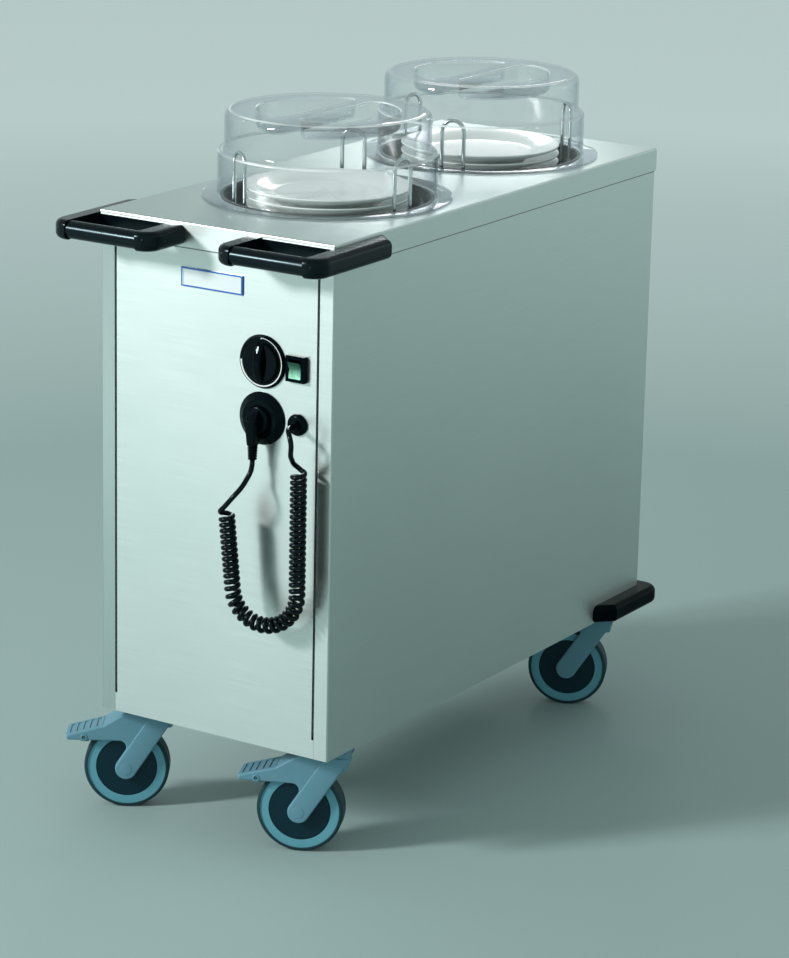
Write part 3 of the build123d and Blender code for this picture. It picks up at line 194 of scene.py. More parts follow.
# %% [markdown]
# ## The cord
# The real cord is one black sheath: it leaves the gland, curls fifty times round a
# hanging loop and ends in the plug. It is drawn as one smooth spline, because a cord has
# no corners. The free leads have a few listed points, and the curls are a helix
# wound round the loop's middle line by a formula. The points are written as on the
# real front: across, out from the panel and below the socket's middle.

# %% Where the cord hangs
front_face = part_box("front_panel")[0].y
socket = middle_of("parking_socket")
CORD_THICK = 7.0 * MM
PLUG_LEAD = [(0.0, 23.5, 67.5), (-4.2, 30.0, 81.0), (-4.7, 42.0, 91.0)]
GLAND_LEAD = [(58.9, 25.0, 0.0), (69.9, 38.4, 2.5), (77.9, 43.2, 16.8)]


def hung(point):
    """A point of the cord: millimetres across from the socket, out and below it."""
    across, out, below = (value * MM for value in point)
    return Vector((socket.x + across, front_face - out, socket.z - below))


gland_mouth = Vector((middle_of("cord_gland").x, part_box("cord_gland")[0].y, socket.z))
plug_mouth = Vector((middle_of("plug").x, hung(PLUG_LEAD[0]).y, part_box("plug")[0].z))
print("cord runs from", gland_mouth.to_tuple(4), "to", plug_mouth.to_tuple(4))

# %% [markdown]
# The loop's middle line is a leaning column, a round bend and an upright column. Its
# bend touches both columns, and that gives the radius.

# %% The loop's middle line
COIL_LEFT = (-26.7, 46.5, 129.0)
COIL_RIGHT = (80.8, 29.5, 62.0)
COIL_DEPTH = 284.0 * MM
COIL_LEAN = radians(5.4)
left_top = hung(COIL_LEFT)
right_top = hung(COIL_RIGHT)
lowest = socket.z - COIL_DEPTH
span = (right_top - left_top) * LEVEL
loop_width = span.length
loop_across = span.normalized()
loop_outward = Vector((loop_across.y, -loop_across.x, 0))
room = loop_width * cos(COIL_LEAN) - (left_top.z - lowest) * sin(COIL_LEAN)
bend_radius = room / (1 + cos(COIL_LEAN) - sin(COIL_LEAN))
bend_z = lowest + bend_radius
left_length = (loop_width - bend_radius) * sin(COIL_LEAN)
left_length += (left_top.z - bend_z) * cos(COIL_LEAN)
bend_length = bend_radius * (pi - COIL_LEAN)
loop_length = left_length + bend_length + right_top.z - bend_z


def loop_at(along):
    """Point, direction and inward normal of the loop's middle line."""
    angle = COIL_LEAN + (along - left_length) / bend_radius
    angle = min(max(angle, COIL_LEAN), pi)
    inward = loop_across * cos(angle) + UP * sin(angle)
    direction = loop_across * sin(angle) - UP * cos(angle)
    centre = left_top + loop_across * (loop_width - bend_radius) + UP * (bend_z - left_top.z)
    past = min(along - left_length, 0) + max(along - left_length - bend_length, 0)
    return centre - inward * bend_radius + direction * past, direction, inward


print("loop's middle line:", round(loop_length, 3), "m, bend of", round(bend_radius, 3), "m")

# %% [markdown]
# Along the loop the curls lie close together and open a little round the bend, where the
# cord's own weight stretches them. At both ends the strand peels off the helix. The helix
# is stepped in quarter turns first, so that the pitch can ease.

# %% Spacing the curls
CURL_RADIUS = 8.35 * MM
CURL_PITCH = 8.1 * MM
BEND_PITCH = 10.2 * MM
PITCH_EASE = 25.0 * MM
PEEL_LEFT = radians(45)
PEEL_RIGHT = radians(52)
PEEL_QUARTERS = 2


def pitch_at(along):
    """Distance between curls, opened round the bend."""
    into_bend = min(along - left_length, left_length + bend_length - along) + PITCH_EASE
    share = min(max(into_bend / PITCH_EASE, 0), 1)
    return CURL_PITCH + (BEND_PITCH - CURL_PITCH) * share


def quarter_places():
    """Places along the loop, a quarter turn apart, and the pitch at each."""
    places = [0.0]
    while places[-1] < loop_length or len(places) % 4:
        places.append(places[-1] + pitch_at(places[-1]) / 4)
    pitches = [pitch_at(place) for place in places]
    full_turn = 2 * pi * CURL_RADIUS
    for step in range(PEEL_QUARTERS):
        share = (1 - step / PEEL_QUARTERS) ** 2
        pitches[step] += (full_turn * tan(PEEL_LEFT) - pitches[step]) * share
        pitches[-1 - step] += (full_turn * tan(PEEL_RIGHT) - pitches[-1 - step]) * share
    eased = [0.0]
    for here, after in zip(pitches, pitches[1:]):
        eased.append(eased[-1] + (here + after) / 2 / 4)
    offset = eased[PEEL_QUARTERS] - places[PEEL_QUARTERS]
    return [place - offset for place in eased], pitches


places, pitches = quarter_places()
print("curls:", len(places) // 4, "turns")

# %% [markdown]
# Each quarter turn then gets four points. A smooth spline passes a little inside its
# points, so they stand out by that much.

# %% Winding the curls
POINTS_PER_QUARTER = 4
STAND_OUT = 1 / cos(pi / (4 * POINTS_PER_QUARTER))


def curl_spot(along, phase, radius):
    """A point of the helix, the loop's direction and the way round the helix."""
    point, direction, inward = loop_at(along)
    spot = point + inward * (radius * cos(phase)) + loop_outward * (radius * sin(phase))
    return spot, direction, loop_outward * cos(phase) - inward * sin(phase)


def strand_end(along, pitch, phase, way):
    """The free end beyond the helix and the direction that it leaves in."""
    spot, direction, around = curl_spot(along, phase, CURL_RADIUS)
    leaving = (direction * (pitch / (2 * pi)) + around * CURL_RADIUS).normalized() * way
    return spot + leaving * CORD_THICK, leaving


curls = []
for step in range((len(places) - 1) * POINTS_PER_QUARTER + 1):
    quarter, part = divmod(step, POINTS_PER_QUARTER)
    after = min(quarter + 1, len(places) - 1)
    along = places[quarter] + (places[after] - places[quarter]) * part / POINTS_PER_QUARTER
    phase = (step / POINTS_PER_QUARTER + 1) * pi / 2
    curls.append(curl_spot(along, phase, CURL_RADIUS * STAND_OUT)[0])
plug_end, to_plug = strand_end(places[0], pitches[0], pi / 2, -1)
gland_end, to_gland = strand_end(places[-1], pitches[-1], len(places) * pi / 2, 1)
print("helix of", len(curls), "points")

# %% [markdown]
# The whole route becomes one NURBS curve. Its bare line is read off first: it is the
# cord's true length. Then the line gets its thickness and becomes a mesh. The section
# is a twelve-sided ring, so its corners stand out a little to keep the thickness.

# %% The cord itself
PLUG_LEAD_END = 17.0 * MM
GLAND_LEAD_END = 9.1 * MM
POINT_GAP = 0.1 * MM
FACET_REACH = 1.035
route = [gland_mouth] + [hung(point) for point in GLAND_LEAD]
route += [gland_end + to_gland * GLAND_LEAD_END, gland_end]
route += curls[::-1]
route += [plug_end, plug_end + to_plug * PLUG_LEAD_END]
route += [hung(point) for point in PLUG_LEAD[::-1]] + [plug_mouth]
line = bpy.data.curves.new("cord", "CURVE")
line.dimensions = "3D"
line.resolution_u = 3
spline = line.splines.new("NURBS")
spline.points.add(len(route) - 1)
for point, place in zip(spline.points, route):
    point.co = (*place, 1)
spline.order_u = 3
spline.use_endpoint_u = True
cord = bpy.data.objects.new("cord", line)
into_scene(cord)
cord_path = [gland_mouth]
for vertex in bpy.data.meshes.new_from_object(cord).vertices:
    if (vertex.co - cord_path[-1]).length > POINT_GAP:
        cord_path.append(vertex.co.copy())
line.bevel_depth = CORD_THICK / 2 * FACET_REACH
line.bevel_resolution = 4
line.use_fill_caps = True
alone(cord)
bpy.ops.object.convert(target="MESH")
bpy.ops.object.shade_smooth()

# %% [markdown]
# The gland's lead hangs as high as the plug's, so the plug's lead is found by its side
# as well as by its height. It is parted from the mesh and joined to it again.

# %% The plug's lead
LEAD_FOOT = 8.0 * MM
foot = left_top.z + LEAD_FOOT
lead_side = socket.x + loop_width / 4
pick(cord, "FACE", lambda place, normal: place.z > foot and place.x < lead_side)
bpy.ops.mesh.separate(type="SELECTED")
mode("OBJECT")
lead = next(piece for piece in bpy.context.selected_objects if piece != cord)
print("plug's lead:", len(lead.data.polygons), "faces")
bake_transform(cord)
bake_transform(lead)
join(cord, lead)
tidy_mesh(cord)
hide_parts("cord_lead_gland", "cord_curls", "cord_lead_plug")

# %% [markdown]
# ## Finishes
# Each finish is a small tree of shader nodes. One helper adds a node and another fills its
# sockets with values or links. All patterns read Object coordinates, so they keep their
# scale in metres on every piece.


# %% Adding nodes
def fill(node, sockets):
    """Set a node's sockets. A value that is another node's socket becomes a link."""
    for name, value in dict(sockets).items():
        socket = node.inputs[name]
        if isinstance(value, bpy.types.NodeSocket):
            node.id_data.links.new(value, socket)
        elif socket.type == "RGBA":
            socket.default_value = (*value, 1)
        else:
            socket.default_value = value


def add(tree, kind, sockets=(), **settings):
    """A new node with its settings and its sockets."""
    node = tree.nodes.new("ShaderNode" + kind)
    for key, value in settings.items():
        setattr(node, key, value)
    fill(node, sockets)
    return node


def new_finish(name, colour, roughness, metallic=0.0):
    """A material, its node tree and its shader, which starts with a plain colour."""
    finish = bpy.data.materials.new(name)
    finish.use_nodes = True
    shader = finish.node_tree.nodes["Principled BSDF"]
    fill(shader, {"Base Color": colour, "Roughness": roughness, "Metallic": metallic})
    return finish, finish.node_tree, shader


def math(tree, operation, first, second=0.0):
    """One step of arithmetic."""
    return add(tree, "Math", {0: first, 1: second}, operation=operation).outputs["Value"]


def vector(tree, operation, first, second=(0, 0, 0), output="Vector"):
    """One step of arithmetic with vectors."""
    return add(tree, "VectorMath", {0: first, 1: second}, operation=operation).outputs[output]


def where(tree, source="Object"):
    """The place on the piece, or another thing that is known of it."""
    return add(tree, "TexCoord").outputs[source]


def along_axis(tree, axis, source="Object"):
    """One coordinate of the place or of another source."""
    return add(tree, "SeparateXYZ", {"Vector": where(tree, source)}).outputs[axis]


def within(tree, value, low, high):
    """1 where a value lies between two limits."""
    above = math(tree, "GREATER_THAN", value, low)
    return math(tree, "MULTIPLY", above, math(tree, "LESS_THAN", value, high))


def between(tree, share, low, high, start=0.3, end=0.7):
    """A value moved from one range into another."""
    sockets = {"Value": share, "From Min": start, "From Max": end, "To Min": low, "To Max": high}
    return add(tree, "MapRange", sockets).outputs["Result"]


# %% Patterns and colours
def grain(tree, scale, detail=2.0, stretch=(1, 1, 1)):
    """Noise at so many spots a metre, stretched along the axes."""
    spread = add(tree, "Mapping", {"Vector": where(tree), "Scale": stretch}).outputs["Vector"]
    noise = add(tree, "TexNoise", {"Vector": spread, "Scale": scale, "Detail": detail})
    return noise.outputs["Fac"]


def bump(shader, height, depth):
    """Relief from a height pattern, its depth in millimetres."""
    node = add(shader.id_data, "Bump", {"Height": height, "Distance": depth * MM})
    fill(shader, {"Normal": node.outputs["Normal"]})


def gloss(shader, share, low, high, start=0.3, end=0.7):
    """Roughness that follows a pattern."""
    fill(shader, {"Roughness": between(shader.id_data, share, low, high, start, end)})


def tint(shader, share, dark, pale, socket="Base Color"):
    """A colour between two shades."""
    mix = add(shader.id_data, "Mix", {"Factor": share, "A": dark, "B": pale}, data_type="RGBA")
    fill(shader, {socket: mix.outputs["Result"]})


def shaded(shader, share, colour):
    """Lay a colour over the shader's own where a share is 1."""
    tint(shader, share, shader.inputs["Base Color"].links[0].from_socket, colour)


def scaled(colour, share):
    """A colour made darker or paler."""
    return [value * share for value in colour]


def paint(finish, *pieces):
    """Give pieces their finish."""
    for piece in pieces:
        piece.data.materials.clear()
        piece.data.materials.append(finish)


def dress(finish, *nodes):
    """Give carried-over solids their finish."""
    paint(finish, *(frame["nodes"][name] for name in nodes))


# %% [markdown]
# ### Brushed stainless steel
# The sheets were ground with a belt, which leaves fine lines along one direction. Across
# the lines a highlight is drawn out, so a lamp above the picture still whitens the upright
# walls: that is anisotropy, and its tangent stands upright on walls and across on the
# worktop. A stretched noise gives the lines, and a broad one the clouds of handling.
# The left panel's sheet was cut the other way, with its lines upright, so its folded edge
# stays darker than the front beside it. Under the worktop's skirt a thin band is painted dark as
# shade.

# %% Grinding steel
FINE, LONG = 700, 9
CLOUDS = 2.5
LINE_SHADES = (0.94, 1.05)
GLOSS_DRIFT = 0.03
# Width and colour of the painted shade just under the worktop's skirt.
SKIRT_SHADE_WIDTH = 2.0 * MM
SKIRT_SHADE_DARK = (0.10, 0.12, 0.115)


def ground_steel(name, colour, roughness, depth, drawn_out, upright=False, skirt_shade_top=None):
    """Sheet steel ground along its length, or upright, with a band of painted shade below a
    height.
    """
    finish, tree, shader = new_finish(name, colour, roughness, metallic=1.0)
    wall_way = (FINE, FINE, LONG) if upright else (LONG, LONG, FINE)
    wall_lines = grain(tree, 1.0, 4.0, wall_way)
    top_lines = grain(tree, 1.0, 4.0, (FINE, LONG, LONG))
    level = math(tree, "GREATER_THAN", along_axis(tree, "Z", "Normal"), 0.7)
    lines = add(tree, "Mix", {"Factor": level, "A": wall_lines, "B": top_lines}).outputs["Result"]
    tint(shader, lines, *(scaled(colour, shade) for shade in LINE_SHADES))
    # A thin band of painted shade just under the worktop's skirt.
    if skirt_shade_top:
        skirt_shade = within(tree, along_axis(tree, "Z"), skirt_shade_top - SKIRT_SHADE_WIDTH, skirt_shade_top)
        shaded(shader, skirt_shade, SKIRT_SHADE_DARK)
    worn = math(tree, "MULTIPLY", lines, grain(tree, CLOUDS))
    gloss(shader, worn, roughness - GLOSS_DRIFT, roughness + GLOSS_DRIFT, 0.1, 0.45)
    bump(shader, lines, depth)
    upwards = math(tree, "SUBTRACT", 1.0, level)
    across = add(tree, "CombineXYZ", {"X": level, "Z": upwards}).outputs["Vector"]
    if upright:
        across = vector(tree, "CROSS_PRODUCT", where(tree, "Normal"), UP)
    fill(shader, {"Anisotropic": drawn_out, "Tangent": across})
    return finish


# %% Steel
STEEL = (0.58, 0.66, 0.64)
DULL_STEEL = (0.42, 0.45, 0.45)
# The wells' steel is painted nearly black, as the shade down inside the wells.
WELL_STEEL_PAINTED_SHADE = (0.045, 0.060, 0.064)
skirt_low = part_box("top_plate")[0].z
# name: colour, roughness, depth of the lines in mm, drawing out, upright, height of the painted
# shade under the skirt
SHEETS = {
    "brushed_stainless": (STEEL, 0.34, 0.02, 0.65),
    "wall_stainless": (STEEL, 0.34, 0.02, 0.62, False, skirt_low),
    "upright_stainless": (STEEL, 0.34, 0.02, 0.65, True, skirt_low),
    "plain_stainless": (DULL_STEEL, 0.42, 0.01, 0.3),
    # painted shade: the wells' steel is nearly black
    "well_steel_painted_shade": (WELL_STEEL_PAINTED_SHADE, 0.45, 0.01, 0.2),
}
sheet = {name: ground_steel(name, *values) for name, values in SHEETS.items()}
dress(sheet["brushed_stainless"], "top_plate")
dress(sheet["wall_stainless"], "side_panel_right", "front_panel", "rear_panel")
dress(sheet["upright_stainless"], "side_panel_left")
dress(sheet["plain_stainless"], "floor_pan", "platform_front", "platform_rear")
dress(sheet["well_steel_painted_shade"], "well_front", "well_rear")
print("steel:", *sheet)


# %% [markdown]
# ### Polished, plated and dull metal
# The guide rods are drawn bright, so they mirror their surroundings. The caster plates
# and bolts are zinc plated, with the mottled spangle of plating. The heater tubes are
# dull from heat, the springs are oiled wire, and the brakes' screws are dark. One tree
# serves them all, because they differ only in shade, gloss and the size of their spots.


# %% Rods, plating, springs and heaters
def mottled_metal(name, dark, pale, roughness, spots, depth):
    """Metal whose shade and gloss vary in spots."""
    finish, tree, shader = new_finish(name, pale, roughness, metallic=1.0)
    cloud = grain(tree, spots, 3.0)
    tint(shader, cloud, dark, pale)
    gloss(shader, cloud, roughness - 0.06, roughness + 0.08)
    bump(shader, cloud, depth)
    return finish


# name: dark and pale shade, roughness, spots a metre, their depth in mm
METALS = {
    "polished_rod": ((0.60, 0.65, 0.66), (0.72, 0.76, 0.77), 0.14, 60, 0.01),
    "zinc_plate": ((0.36, 0.39, 0.41), (0.55, 0.58, 0.61), 0.34, 150, 0.02),
    "heat_dulled_tube": ((0.16, 0.14, 0.13), (0.34, 0.32, 0.31), 0.5, 90, 0.03),
    "screw_dark": ((0.03, 0.035, 0.04), (0.10, 0.11, 0.12), 0.35, 900, 0.01),
    "spring_wire": ((0.36, 0.37, 0.38), (0.52, 0.53, 0.54), 0.3, 200, 0.01),
}
metal = {name: mottled_metal(name, *values) for name, values in METALS.items()}
dress(metal["polished_rod"], "guide_rods_front", "guide_rods_rear")
dress(metal["zinc_plate"], "caster_heads")
dress(metal["heat_dulled_tube"], "heaters")
print("metal:", *metal)


# %% [markdown]
# ### Moulded plastics
# Handles, bumpers, dial and plug are black mouldings with a soft gloss. The casters are
# a light blue-grey moulding with a fine matte grain, and the wheel's guards a dark one.
# One tree serves them all: a fine grain in the relief and a slow drift in the gloss.

# %% Moulding plastic
COOL_SHEEN = (0.62, 0.92, 1.0)
DRIFT_SPOTS = 14


def moulded(name, colour, roughness, depth, spots=900, drift=0.12, shine=0.5):
    """Moulded plastic or rubber with a fine grain."""
    finish, tree, shader = new_finish(name, colour, roughness)
    fill(shader, {"Specular IOR Level": shine, "Specular Tint": COOL_SHEEN})
    drifting = grain(tree, DRIFT_SPOTS)
    tint(shader, drifting, scaled(colour, 1 - drift), scaled(colour, 1 + drift))
    gloss(shader, drifting, roughness - 0.04, roughness + 0.05)
    bump(shader, grain(tree, spots), depth)
    return finish


# %% Plastics
CASTERS = ("front_left", "front_right", "rear_left", "rear_right")
# name: colour, roughness, depth of the grain in mm, grains a metre, drift, shine
PLASTICS = {
    "black_casting": ((0.0010, 0.0035, 0.005), 0.22, 0.02, 900, 0.12, 0.20),
    "bumper_black": ((0.0008, 0.003, 0.005), 0.3, 0.02, 900, 0.12, 0.035),
    "black_fitting": ((0.0010, 0.0035, 0.005), 0.2, 0.02, 900, 0.12, 0.07),
    "knob_black": ((0.0008, 0.002, 0.003), 0.08, 0.01, 900, 0.12, 0.08),
    "cord_sheath": ((0.0015, 0.003, 0.004), 0.18, 0.02, 500, 0.12, 0.2),
    "fork_grey": ((0.125, 0.275, 0.345), 0.5, 0.06, 1400, 0.06, 0.35),
    "guard_dark": ((0.003, 0.020, 0.032), 0.36, 0.03, 900, 0.1, 0.28),
    "tyre_rubber": ((0.012, 0.036, 0.045), 0.6, 0.08, 700, 0.15, 0.35),
    "wire_sheath": ((0.17, 0.17, 0.18), 0.5, 0.03),
    "box_plastic": ((0.28, 0.29, 0.30), 0.55, 0.05),
    "white_print": ((0.74, 0.78, 0.77), 0.4, 0.005),
}
plastic = {name: moulded(name, *values) for name, values in PLASTICS.items()}
dress(plastic["black_casting"], "handle_left", "handle_right")
dress(plastic["bumper_black"], "rear_bumpers", "switch_frame")
dress(plastic["black_fitting"], "parking_socket", "cord_gland", "dial_ring")
dress(plastic["knob_black"], "dial_knob")
dress(plastic["fork_grey"], "pedal_left", "pedal_right")
for name in CASTERS:
    dress(plastic["fork_grey"], f"fork_{name}", f"axle_{name}")
    dress(plastic["guard_dark"], f"guards_{name}")
    dress(plastic["tyre_rubber"], f"tyre_{name}")
dress(plastic["wire_sheath"], "wiring")
dress(plastic["box_plastic"], "inner_fittings")
paint(plastic["cord_sheath"], cord)
print("plastics:", *plastic)

# %% [markdown]
# The wheel's rim is the same moulding as the fork, a little bluer. Where its dark guard
# sits in the rim, the narrow gap is painted black as shade. That painted shade is a ring round the
# axle, so each rim's finish measures the distance from its own axle, found in the joints.

# %% Rims
# Radii and colour of the painted shade in the gap between guard and rim.
GAP_SHADE_RING = (43.4 * MM, 45.0 * MM)
GAP_SHADE_BLACK = (0.002, 0.004, 0.005)
RIM_BLUE = (0.115, 0.335, 0.41)
RIM_MOULDING = (0.48, 0.05, 1400, 0.06, 0.35)
for name in CASTERS:
    roll = joints[f"roll_{name}"]
    rim_grey = moulded(f"rim_grey_{name}", RIM_BLUE, *RIM_MOULDING)
    tree = rim_grey.node_tree
    from_axle = vector(tree, "SUBTRACT", where(tree), roll["pos_m"])
    round_axle = vector(tree, "CROSS_PRODUCT", from_axle, roll["axis"])
    radius = vector(tree, "LENGTH", round_axle, output="Value")
    # A ring of painted shade where the guard sits in the rim.
    gap_shade = within(tree, radius, *GAP_SHADE_RING)
    shaded(tree.nodes["Principled BSDF"], gap_shade, GAP_SHADE_BLACK)
    dress(rim_grey, f"wheel_{name}")
print("rims:", len(CASTERS))

# %% [markdown]
# ### Porcelain and clear plastic
# Porcelain is a white body under a thin clear glaze, so the shader's coat does the work.

# %% Porcelain
WHITE_DARK = (0.85, 0.91, 0.89)
WHITE_PALE = (0.89, 0.95, 0.93)
porcelain, tree, shader = new_finish("porcelain", WHITE_PALE, 0.25)
tint(shader, grain(tree, 20), WHITE_DARK, WHITE_PALE)
fill(shader, {"Coat Weight": 0.5, "Coat Roughness": 0.06})
bump(shader, grain(tree, 30), 0.05)
print("porcelain:", len(tree.nodes), "nodes")

# %% [markdown]
# The hoods are thin walls of clear plastic, which hardly bend the light. So they are
# see-through, tinted where the eye looks along the wall, and mirror more there too.
# Their rims catch light that runs inside the wall, so a little diffuse white is painted on
# them in patches as a highlight, and the sawn edge of the flange shows violet. Rims and
# flange are found by their heights.

# %% Clear plastic
CLEAR_FACING = (0.99, 0.993, 0.995)
CLEAR_EDGE = (0.85, 0.89, 0.94)
SAWN_VIOLET = (0.34, 0.36, 0.66)
# Colour of the painted highlight on the rims.
RIM_PAINTED_HIGHLIGHT = (0.86, 0.92, 0.91)
FLANGE_TOP = 0.9032
STEP_RIM = (0.9640, 0.9661)
TOP_RIM = (1.0230, 1.0247)
TINT_FALL, MIRROR_FALL = 3.0, 5.0
MIRROR_FACING, MIRROR_GAIN = 0.045, 0.9


def mixed(tree, share, first, second):
    """Two shaders, mixed by a share of the second."""
    return add(tree, "MixShader", {0: share, 1: first, 2: second}).outputs["Shader"]


clear = bpy.data.materials.new("clear_hood")
clear.use_nodes = True
tree = clear.node_tree
tree.nodes.remove(tree.nodes["Principled BSDF"])
height = along_axis(tree, "Z")
edge = add(tree, "LayerWeight", {"Blend": 0.5}).outputs["Facing"]
through = add(tree, "BsdfTransparent")
tint(through, math(tree, "POWER", edge, TINT_FALL), CLEAR_FACING, CLEAR_EDGE, "Color")
sawn = add(tree, "BsdfTransparent", {"Color": SAWN_VIOLET}).outputs["BSDF"]
upright = within(tree, along_axis(tree, "Z", "Normal"), -0.5, 0.5)
flange = math(tree, "MULTIPLY", math(tree, "LESS_THAN", height, FLANGE_TOP), upright)
wall = mixed(tree, flange, through.outputs["BSDF"], sawn)
wave = add(tree, "Bump", {"Height": grain(tree, 25, 1.0), "Distance": 0.03 * MM})
shine = add(tree, "BsdfGlossy", {"Roughness": 0.03, "Normal": wave.outputs["Normal"]})
mirror = math(tree, "MULTIPLY", math(tree, "POWER", edge, MIRROR_FALL), MIRROR_GAIN)
mirror = math(tree, "ADD", mirror, MIRROR_FACING)
glossy = mixed(tree, mirror, wall, shine.outputs["BSDF"])
# The rims' heights, where patches of diffuse white are painted as a highlight.
rim_highlight_bands = math(tree, "MAXIMUM", within(tree, height, *STEP_RIM), within(tree, height, *TOP_RIM))
patches = between(tree, grain(tree, 12, 1.0), 0.1, 0.75, 0.35, 0.65)
pale = add(tree, "BsdfDiffuse", {"Color": RIM_PAINTED_HIGHLIGHT}).outputs["BSDF"]
surface = mixed(tree, math(tree, "MULTIPLY", rim_highlight_bands, patches), glossy, pale)
fill(tree.nodes["Material Output"], {"Surface": surface})
print("clear plastic:", len(tree.nodes), "nodes")

# %% [markdown]
# ### The badge and the lit rocker
# The badge is a blank white plate with a blue border, printed: the distance from its
# edges picks the colour.

# %% Badge
BADGE_BLUE = (0.020, 0.140, 0.520)
BADGE_WHITE = (0.72, 0.80, 0.80)
BORDER = 2.2 * MM
low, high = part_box("badge_plate")
badge, tree, shader = new_finish("badge_print", BADGE_WHITE, 0.3)
inside_x = within(tree, along_axis(tree, "X"), low.x + BORDER, high.x - BORDER)
inside_z = within(tree, along_axis(tree, "Z"), low.z + BORDER, high.z - BORDER)
tint(shader, math(tree, "MULTIPLY", inside_x, inside_z), BADGE_BLUE, BADGE_WHITE)
bump(shader, grain(tree, 300), 0.01)
dress(badge, "badge_plate")
print("badge is", round(high.x - low.x, 3), "m wide")

# %% [markdown]
# The rocker is clear green with a lamp behind its lower half, so it glows more and
# paler towards the bottom.

# %% Rocker
GREEN_DARK = (0.003, 0.045, 0.022)
GREEN_PALE = (0.360, 0.800, 0.580)
GLOW_DARK = (0.0, 0.03, 0.015)
GLOW_PALE = (0.20, 0.52, 0.36)
GLOW_FALL = 2.4
low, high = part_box("switch_rocker")
lit, tree, shader = new_finish("lit_rocker", GREEN_DARK, 0.15)
glow = between(tree, along_axis(tree, "Z"), 1.0, 0.0, low.z, high.z)
spots = between(tree, grain(tree, 160), 0.7, 1.2)
mottle = math(tree, "MULTIPLY", math(tree, "POWER", glow, GLOW_FALL), spots)
tint(shader, mottle, GREEN_DARK, GREEN_PALE)
tint(shader, mottle, GLOW_DARK, GLOW_PALE, "Emission Color")
fill(shader, {"Emission Strength": 0.6})
dress(lit, "switch_rocker")
print("rocker is", round(high.z - low.z, 3), "m high")


# %% [markdown]
# ## Turned pieces
# A plate and a hood are both round, so they are made as on a wheel: half an outline is
# drawn point by point and spun round an upright axis. Seams and poles are merged, and the
# faces are turned outwards, because a spin can leave them inside out.


# %% Spinning an outline
def turned(name, centre, outline, steps):
    """A piece of revolution from (radius, height) points in millimetres."""
    radius, height = outline[0]
    start = (centre.x + radius * MM, centre.y, height * MM)
    piece = begin(name, bpy.ops.mesh.primitive_plane_add, size=MM, location=start)
    pick(piece, "VERT")
    bpy.ops.mesh.merge(type="CENTER")
    for here, after in zip(outline, outline[1:]):
        step = ((after[0] - here[0]) * MM, 0, (after[1] - here[1]) * MM)
        bpy.ops.mesh.extrude_vertices_move(TRANSFORM_OT_translate={"value": step})
    bpy.ops.mesh.select_all(action="SELECT")
    bpy.ops.mesh.spin(steps=steps, angle=2 * pi, center=(centre.x, centre.y, 0), axis=UP)
    tidy_mesh(piece)
    return piece


def round_off(piece, centre, radius, height, offset, segments):
    """Bevel the circle of edges at a radius and a height, given in millimetres."""
    def on_circle(place):
        away = (place.xy - centre.xy).length / MM
        return abs(away - radius) < 0.5 and abs(place.z / MM - height) < 0.05

    pick(piece, "EDGE", on_circle)
    bpy.ops.mesh.bevel(offset=offset * MM, segments=segments, affect="EDGES")
    mode("OBJECT")


# %% [markdown]
# ### The plates
# Each stack holds four soup plates. The foot ring of one stands in the dish of the next,
# and between the rims a dark gap shows. One plate is turned, its corners are rounded, and
# the others are copies, each with its own mesh.

# %% Plates
PLATE_OUTLINE = [
    (0, 5), (58.5, 5), (60.2, 0.8), (61.4, 0), (64.8, 0), (66, 1), (67.5, 5.4), (82, 6.8),
    (116, 18.4), (120, 20.2), (121, 22.4), (120.2, 23.8), (118.6, 23.9), (84, 14.6),
    (76, 12.5), (0, 12.5),
]
PLATE_ROUNDS = [(67.5, 5.4, 1.5, 4), (82, 6.8, 6, 4), (84, 14.6, 4, 4), (76, 12.5, 4, 4)]
PLATE_STEPS = 96
PLATE_PITCH = 12.5 * MM
PLATES = 4
WELLS = ("front", "rear")


def plate_stack(well):
    """The plates of one well, as separate pieces on its platform."""
    centre = middle_of(f"plates_{well}")
    first = turned(f"plate_{well}_1", centre, PLATE_OUTLINE, PLATE_STEPS)
    for circle in PLATE_ROUNDS:
        round_off(first, centre, *circle)
    smooth(first, 50)
    stack = [first]
    for step in range(1, PLATES):
        plate = first.copy()
        plate.data = first.data.copy()
        plate.name = f"plate_{well}_{step + 1}"
        into_scene(plate)
        stack.append(plate)
    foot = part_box(f"plates_{well}")[0].z
    for step, plate in enumerate(stack):
        plate.data.transform(Matrix.Translation(UP * (foot + step * PLATE_PITCH)))
        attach(plate, f"platform_{well}")
        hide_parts(f"plates_{well}")
    paint(porcelain, *stack)
    return stack


for well in WELLS:
    stack = plate_stack(well)
    print(well, "well holds", len(stack), "plates of", len(stack[0].data.polygons), "faces")

# %% [markdown]
# ### The hoods
# A hood is one clear skin: a flange, a skirt, a step, a drum with a round shoulder, and
# a flat top with two sunk pockets for the fingers and a bar between them. The pockets are
# let into the top with insets that follow a rounded section: each starts as a flat half
# moon, rolls over a lip, falls to its floor and rounds into it.

# %% A pocket's outline
POCKET_RADIUS = 105
POCKET_CORNER = 17
BAR_HALF = 11
ARC_STEPS = 60
CORNER_STEPS = 9


def half_moon():
    """Outline of a pocket in millimetres: an arc and a straight side with round corners."""
    inner = POCKET_RADIUS - POCKET_CORNER
    aside = BAR_HALF + POCKET_CORNER
    corner = Vector((aside, (inner ** 2 - aside ** 2) ** 0.5))
    end = atan2(corner.y, corner.x)
    arc = [end * (2 * step / ARC_STEPS - 1) for step in range(ARC_STEPS)]
    outline = [Vector((cos(angle), sin(angle))) * POCKET_RADIUS for angle in arc]
    turn = [end + (pi - end) * step / CORNER_STEPS for step in range(CORNER_STEPS + 1)]
    upper = [corner + Vector((cos(angle), sin(angle))) * POCKET_CORNER for angle in turn]
    return outline + upper + [Vector((point.x, -point.y)) for point in upper[:0:-1]]


